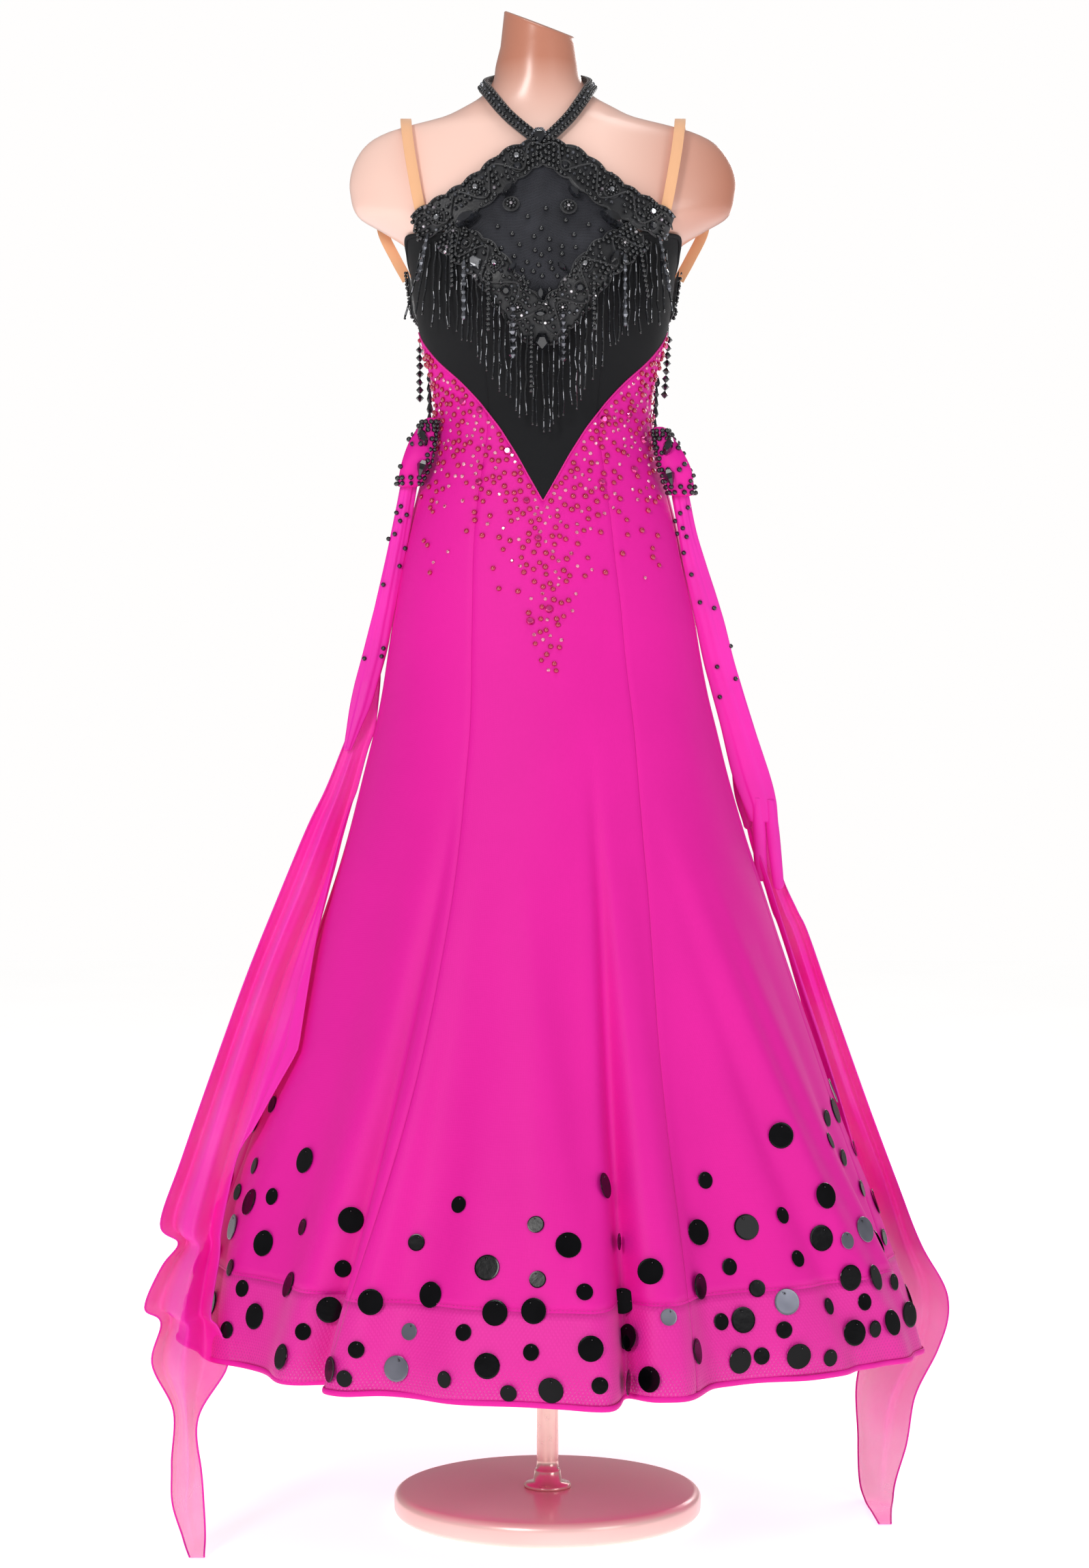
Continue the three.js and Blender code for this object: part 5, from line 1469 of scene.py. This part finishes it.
def make_jewel():
    x = MIDDLE_X - 0.004
    z = (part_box("neck_jewel")[0].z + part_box("neck_jewel")[1].z) / 2
    place = on_chest(x, z) - np.array([0, 0.0022, 0])
    normal = unit(np.array([0, -1, 0.12]))
    stone = Parts()
    stone.stamp(SHIELD, frames_at(place, normal, (0, 0, -1), 0.025, (1, 1.05, 0.55)))
    finish_piece(stone.make("neck_stone", JET), "beadwork", "neck_jewel")
    work = Beadwork()
    outline = np.array([(-0.5, 0.24), (-0.2, 0.47), (0.2, 0.47), (0.5, 0.24), (0.42, -0.15), (0, -0.52),
                        (-0.42, -0.15)]) * (0.0150, 0.0235)
    corners = np.concatenate([outline, outline[:1]])
    reach = reach_along(corners)
    spots = at_reach(np.linspace(0, reach[-1], 21)[:-1], reach, corners)
    rim = [place + (a, 0, b) for a, b in spots]
    work.stamp("smoke", BALL, frames_at(rim, normal, (1, 0, 0), 0.0032))
    work.finish("neck_jewel_rim")


# middle line of the right strap from the bodice's back edge over the shoulder
STRAP = [(0.133, -0.071, 1.430), (0.138, -0.070, 1.455), (0.145, -0.059, 1.495), (0.149, -0.041, 1.524),
         (0.151, -0.010, 1.538), (0.152, 0.022, 1.535), (0.157, 0.049, 1.517), (0.168, 0.062, 1.484),
         (0.179, 0.057, 1.448), (0.179, 0.046, 1.424), (0.164, 0.035, 1.392), (0.151, 0.029, 1.368)]


def smooth_path(rows, count):
    """Every column of a table of places, along a smooth curve through its rows."""
    keyed = [(i, *row) for i, row in enumerate(rows)]
    at = np.linspace(0, len(rows) - 1, count)
    return np.stack([sample(keyed, at, c + 1) for c in range(len(rows[0]))], -1)


def make_straps():
    outline = np.array([(-1, 0.2), (-1, 0.8), (-0.92, 1), (0.92, 1), (1, 0.8), (1, 0.2), (0.92, 0),
                        (-0.92, 0)][::-1]) * (0.006, 0.0015)
    for side, sign in (("left", -1), ("right", 1)):
        points = smooth_path([(sign * x + MIDDLE_X, y, z) for x, y, z in STRAP], 120)
        along = unit(np.gradient(points, axis=0))
        normals = unit(np.cross([-sign, 0, 0], along) * -sign)
        vertices, faces = sweep(points, normals, outline)
        uvs = np.stack([np.tile(outline[:, 0], 120), np.repeat(np.linspace(0, 0.42, 120), 8)], -1)
        strap = new_mesh(f"shoulder_strap_{side}", vertices, faces, ELASTIC, uvs)
        finish_piece(strap, "elastic", f"strap_{side}")


# ---------------------------------------------------------------- gloves, cuffs and floats
GLOVES = {  # middle line, width and thickness
    "left": [
        (-0.157, -0.012, 1.133, 0.018, 0.012), (-0.166, -0.008, 1.085, 0.019, 0.011),
        (-0.173, -0.006, 1.050, 0.019, 0.010), (-0.184, -0.004, 0.995, 0.021, 0.010),
        (-0.192, -0.004, 0.950, 0.024, 0.010), (-0.204, -0.006, 0.900, 0.023, 0.010),
        (-0.213, -0.009, 0.870, 0.016, 0.009), (-0.220, -0.012, 0.846, 0.009, 0.006),
    ],
    "right": [
        (0.149, -0.012, 1.123, 0.018, 0.012), (0.156, -0.009, 1.085, 0.019, 0.011),
        (0.164, -0.008, 1.050, 0.023, 0.010), (0.179, -0.004, 0.995, 0.028, 0.010),
        (0.192, 0.000, 0.935, 0.031, 0.010), (0.210, 0.002, 0.874, 0.034, 0.010),
        (0.226, 0.004, 0.820, 0.040, 0.010), (0.235, 0.005, 0.790, 0.038, 0.010),
        (0.241, 0.006, 0.766, 0.031, 0.009),
    ],
}
FINGERS = {  # the right glove's two folded fingers and its thumb, as GLOVES
    "first": [(0.232, 0.004, 0.792, 0.012, 0.009), (0.2345, 0.006, 0.758, 0.0155, 0.010),
              (0.2355, 0.009, 0.730, 0.0155, 0.010), (0.2375, 0.010, 0.706, 0.0140, 0.009)],
    "second": [(0.246, 0.004, 0.790, 0.012, 0.009), (0.2495, 0.006, 0.755, 0.0150, 0.010),
               (0.2530, 0.009, 0.722, 0.0145, 0.010), (0.2560, 0.010, 0.696, 0.0130, 0.009)],
    "thumb": [(0.208, 0.014, 0.856, 0.010, 0.008), (0.2140, 0.017, 0.800, 0.0150, 0.009),
              (0.2230, 0.018, 0.762, 0.0110, 0.008)],
}
GLOVE_BEADS = {  # to the right, up
    "left": ((-0.161, 1.095), (-0.167, 1.081), (-0.176, 1.076), (-0.158, 1.067), (-0.164, 1.047),
             (-0.180, 1.026), (-0.184, 0.948), (-0.201, 0.946), (-0.181, 0.957), (-0.160, 1.112),
             (-0.165, 1.104), (-0.155, 1.103)),
    "right": ((0.140, 1.097), (0.149, 1.088), (0.143, 1.082), (0.153, 1.079), (0.151, 1.062),
              (0.158, 1.038), (0.168, 1.006), (0.182, 1.001), (0.201, 0.960), (0.187, 0.938),
              (0.206, 0.923), (0.191, 0.905), (0.146, 1.104), (0.153, 1.110)),
}
CUFFS = {
    "left": [(-0.127, -0.042, 1.206, 0.014, 0.009), (-0.136, -0.041, 1.186, 0.026, 0.012),
             (-0.143, -0.046, 1.160, 0.032, 0.013), (-0.152, -0.035, 1.134, 0.026, 0.013)],
    "right": [(0.122, -0.042, 1.196, 0.014, 0.009), (0.131, -0.044, 1.176, 0.026, 0.012),
              (0.140, -0.047, 1.150, 0.034, 0.013), (0.147, -0.036, 1.124, 0.028, 0.013)],
}
FLOATS = {  # height, outer and inner edge, distance back, lean and wave
    "left": [
        (0.966, -0.199, -0.189, 0.010, 0, 0.0003), (0.930, -0.207, -0.187, 0.009, 0, 0.0006),
        (0.900, -0.212, -0.189, 0.007, 0, 0.001), (0.868, -0.219, -0.193, 0.003, 0, 0.001),
        (0.8425, -0.228, -0.201, -0.005, 0, 0.003), (0.800, -0.245, -0.212, -0.010, 0, 0.006),
        (0.760, -0.264, -0.223, -0.016, 0, 0.009), (0.690, -0.293, -0.246, -0.022, 0, 0.012),
        (0.600, -0.329, -0.281, -0.034, 0.006, 0.014),
        (0.500, -0.364, -0.312, -0.052, 0.012, 0.016), (0.400, -0.397, -0.338, -0.080, 0.020, 0.018),
        (0.334, -0.417, -0.350, -0.110, 0.028, 0.020), (0.315, -0.398, -0.352, -0.118, 0.030, 0.018),
        (0.292, -0.412, -0.352, -0.130, 0.034, 0.020), (0.250, -0.425, -0.352, -0.152, 0.040, 0.020),
        (0.236, -0.413, -0.350, -0.158, 0.040, 0.020), (0.196, -0.426, -0.346, -0.168, 0.040, 0.020),
        (0.145, -0.394, -0.366, -0.175, 0.024, 0.012), (0.090, -0.394, -0.363, -0.177, 0.014, 0.008),
        (0.050, -0.396, -0.364, -0.179, 0.008, 0.005), (0.016, -0.384, -0.362, -0.184, 0, 0.002),
        (0.002, -0.374, -0.360, -0.206, 0, 0),
    ],
    "right": [
        (0.830, 0.228, 0.217, 0.020, 0, 0.0003), (0.790, 0.238, 0.220, 0.021, 0, 0.0006),
        (0.745, 0.250, 0.226, 0.022, 0, 0.001), (0.7005, 0.262, 0.240, 0.025, 0, 0.003),
        (0.665, 0.278, 0.251, 0.028, -0.004, 0.006), (0.640, 0.290, 0.262, 0.030, -0.008, 0.008),
        (0.560, 0.318, 0.288, 0.040, -0.016, 0.010), (0.460, 0.354, 0.320, 0.056, -0.030, 0.012),
        (0.370, 0.388, 0.356, 0.076, -0.060, 0.012), (0.290, 0.418, 0.376, 0.094, -0.116, 0.012),
        (0.230, 0.446, 0.387, 0.108, -0.136, 0.012), (0.170, 0.442, 0.378, 0.106, -0.126, 0.012),
        (0.110, 0.412, 0.356, 0.092, -0.080, 0.009), (0.055, 0.400, 0.354, 0.080, -0.050, 0.006),
        (0.016, 0.392, 0.356, 0.066, -0.024, 0.003), (0.002, 0.386, 0.358, 0.036, -0.008, 0),
        (0.002, 0.380, 0.360, -0.010, 0, 0), (0.002, 0.374, 0.362, -0.064, 0, 0),
    ],
}


def rolled_rings(rows, count, sides, folds, depth, shift=(0, 0)):
    """Rings of a cloth tube that is rolled flat, with lengthwise folds round it.

    Each fold is how many go round, where they start, how far they turn and their share of the depth.
    shift moves the tube's upper part to the right and back.
    """
    path = smooth_path(rows, count)
    path[:, :2] += np.outer(fade(path[:, 2], 0.92, 1.00), shift)
    a = np.arange(sides) * 2 * math.pi / sides
    down = np.linspace(0, 1, count)[:, None]
    wrinkle = sum(np.sin(k * a + phase + turn * down) * share for k, phase, turn, share in folds)
    grow = 1 + depth * wrinkle
    x = path[:, :1] + path[:, 3:4] / 2 * np.sin(a) * grow
    y = path[:, 1:2] - path[:, 4:5] / 2 * np.cos(a) * grow
    return np.stack([x, y, np.broadcast_to(path[:, 2:3], x.shape)], -1)


GLOVE_FOLDS = ((5, 0.4, 2.2, 0.6), (9, 1.9, -3.0, 0.4), (3, 2.2, 5.0, 0.5))


def with_ends(rings, first, last):
    """Rings with one more at each end, each a share of the end's width and how far on it lies."""
    ends = []
    for ring, (share, move) in ((rings[0], first), (rings[-1], last)):
        centre = ring.mean(0)
        ends.append(centre + (ring - centre) * share + move)
    return np.concatenate([ends[:1], rings, ends[1:]])


def front_of(rings, x, z):
    """The place on the front of a rolled tube nearest to x and z, and its normal there."""
    ring = rings[np.argmin(np.abs(rings[:, :, 2].mean(1) - z))]
    middle = ring.mean(0)
    front = ring[ring[:, 1] < middle[1] + 0.0005]
    place = front[np.argmin(np.abs(front[:, 0] - x))]
    return place, unit(place - middle)


def make_fingers():
    for name, rows in FINGERS.items():
        rings = rolled_rings(rows, 44, 24, ((2, 0.5, 1.5, 0.4), (3, 1.4, 3.0, 0.4)), 0.08)
        tip, size = rings[-1].mean(0), rows[-1][3] / 2
        last = rings[-1]
        for turn in (0.35, 0.7, 1.0, 1.25, 1.45):  # the rounded tip
            ring = tip + (last - tip) * math.cos(turn) - (0, 0, size * math.sin(turn))
            rings = np.concatenate([rings, [ring]])
        finger = round_solid(f"glove_finger_{name}", rings[::-1], GLOVE_PINK)
        finish_piece(finger, "chiffon")


def make_glove(side, sign, work):
    shift = (-0.0036 * sign, -0.012)
    rings = rolled_rings(GLOVES[side], 150, 56, GLOVE_FOLDS, 0.14, shift)
    rings = with_ends(rings, (0.6, (0.002 * -sign, -0.002, 0.009)), (0.6, (0, 0, -0.002)))
    glove = round_solid(f"long_glove_{side}", rings[::-1], GLOVE_PINK)
    finish_piece(glove, "chiffon", f"glove_{side}")
    for x, z in GLOVE_BEADS[side]:
        place, normal = front_of(rings, x, z)
        work.stamp("beads", BALL, frames_at(place + normal * 0.0012, normal, (0, 0, 1), 0.0054))


def make_cuff(side, sign, work):
    """A rolled cuff of skirt cloth, covered with beads at its ends and on the side to the skirt."""
    dice = random.Random(50 + sign)
    rings = rolled_rings(CUFFS[side], 40, 40, ((2, 0.5, 1.0, 0.4), (4, 1.0, 2.0, 0.3)), 0.10)
    rings = with_ends(rings, (0.55, (0, 0, 0.0015)), (0.6, (0, 0, -0.0015)))
    cuff = round_solid(f"cuff_{side}", rings[::-1], SATIN)
    finish_piece(cuff, "skirt_cloth", f"glove_cuff_{side}")
    inner = 10 if sign < 0 else 30  # the point of a ring that is nearest to the skirt
    for j in range(3, len(rings) - 2, 3):
        for i in range(j % 2, 40, 4):
            away = min(abs(i - inner), 40 - abs(i - inner))
            full = away < 6 or j < 8 or j > 33
            if not full and ((i // 4 + j // 3) % 3 or dice.random() < 0.3):
                continue
            normal = unit(rings[j][i] - rings[j].mean(0))
            kind, template = ("beads", BALL) if dice.random() < 0.86 else ("jet", CRYSTAL)
            size = 0.0060 * dice.uniform(0.85, 1.05)
            work.stamp(kind, template, frames_at(rings[j][i] + normal * 0.0014, normal, (0, 0.1, 1), size))
    front, low = rings[14][0], rings[31][(inner + 6 * sign) % 40]
    work.stamp("jet", MARQUISE, frames_at(front - (0, 0.003, 0), (0, -1, 0.1), (0.35 * sign, 0, 1), 0.022))
    work.stamp("jet", DROP, frames_at(low - (0, 0.005, 0), (0.3 * sign, -0.2, -1), (1, 0, 0), 0.015))


def make_gloves():
    for side, sign in (("left", -1), ("right", 1)):
        work = Beadwork()
        make_glove(side, sign, work)
        make_cuff(side, sign, work)
        work.finish(f"glove_beads_{side}")


def over_skirt(inner, side):
    """The float's inner part, which lies over the skirt from the float's inner edge towards the front."""
    sign = -1 if side == "left" else 1
    z = inner[..., 2]
    section = dress_section(z)
    right, front = (inner[..., 0] - section[0]) / section[1], -inner[..., 1] / section[2]
    angle = np.degrees(np.arctan2(right, front))
    away = np.linalg.norm(inner - dress_face(angle, z), axis=-1)
    low, full = (0.40, 0.52) if side == "left" else (0.27, 0.37)
    reach = fade(z, low, full) * fade(z, 0.80, 0.72)
    w = np.linspace(0, 1, 19)[None, 1:]
    w = w if sign < 0 else w[:, ::-1]
    span = (3.0 + 11.0 * fade(z, 0.78, 0.53)) * reach  # degrees
    turned = angle - sign * w * span
    crease = 0.0022 * np.sin(w * 13 + z * 9) * reach
    out = away + (0.0085 - away) * np.sqrt(w) * reach + crease
    flat = inner + (w * 0.0012 * -sign)[..., None] * (1, 0, 0)
    laid = moved_out(dress_face, turned, np.broadcast_to(z, turned.shape), out)
    mix = np.clip(reach * 4, 0, 1)[..., None]
    return laid * mix + flat * (1 - mix)


def float_points(side):
    """Rows of points over a float, from its tail up, with ripples across it and fluttering edges."""
    path = smooth_path(FLOATS[side], 190)[::-1, None, :]
    height, outer, inner, back, lean, wave = (path[..., i] for i in range(6))
    u = np.linspace(0, 1, 44)[None, :]
    outward = 1 - u if side == "left" else u
    level = np.linspace(1, 0, 190)[:, None]
    ripple = np.sin(2 * math.pi * (3.4 * u + 1.1 * level)) * 0.22 + np.sin(2 * math.pi * 1.5 * u)
    edge = np.abs(2 * u - 1) ** 3
    tail = np.clip((0.34 - height) / 0.15, 0.03, 1)
    flutter = tail * edge * np.sin(2 * math.pi * 7 * level + 3 * outward) * 0.45
    x = inner + (outer - inner) * outward
    x = x + tail * wave * 0.40 * edge * np.sin(2 * math.pi * 5.4 * level + 1.2)
    y = back + lean * (outward - 0.5) + wave * (ripple + flutter)
    return np.stack([x, y, np.maximum(height + 0 * u, 0.0012)], -1)


def make_floats():
    for side in ("left", "right"):
        points = float_points(side)
        if side == "left":
            points = np.concatenate([points, over_skirt(points[:, -1:], side)], 1)
        else:
            points = np.concatenate([over_skirt(points[:, :1], side), points], 1)
        piece = cloth_shell(f"chiffon_float_{side}", points, CHIFFON, 0.0006)
        finish_piece(piece, "chiffon", f"float_{side}")
        area = grid_area(points)
        long_ = row_length(points[:, 22])
        wide = max(row_length(row) for row in points[::10])
        wide = min(wide, area / long_ / 0.35)  # the mean width is well under the widest
        rim = Parts()
        for column in (0, -1):
            rim.add(*tube_mesh(points[:, column] + (0, 0, 0.0004), 0.0010, 8))
        finish_piece(rim.make(f"float_edge_{side}", GLOVE_PINK), "chiffon")


make_stage()
make_stand()
make_form()
SKIRT_TREE = surface_tree(make_skirt())
make_bodice()
make_yoke()
CHEST_TREE = chest_tree()
make_sequins(SKIRT_TREE)
make_stones()
make_trims(CHEST_TREE)
make_side_trims()
make_fringe()
make_strands(CHEST_TREE)
make_yoke_pearls(CHEST_TREE)
make_neckband()
make_jewel()
make_straps()
make_gloves()
make_fingers()
make_floats()
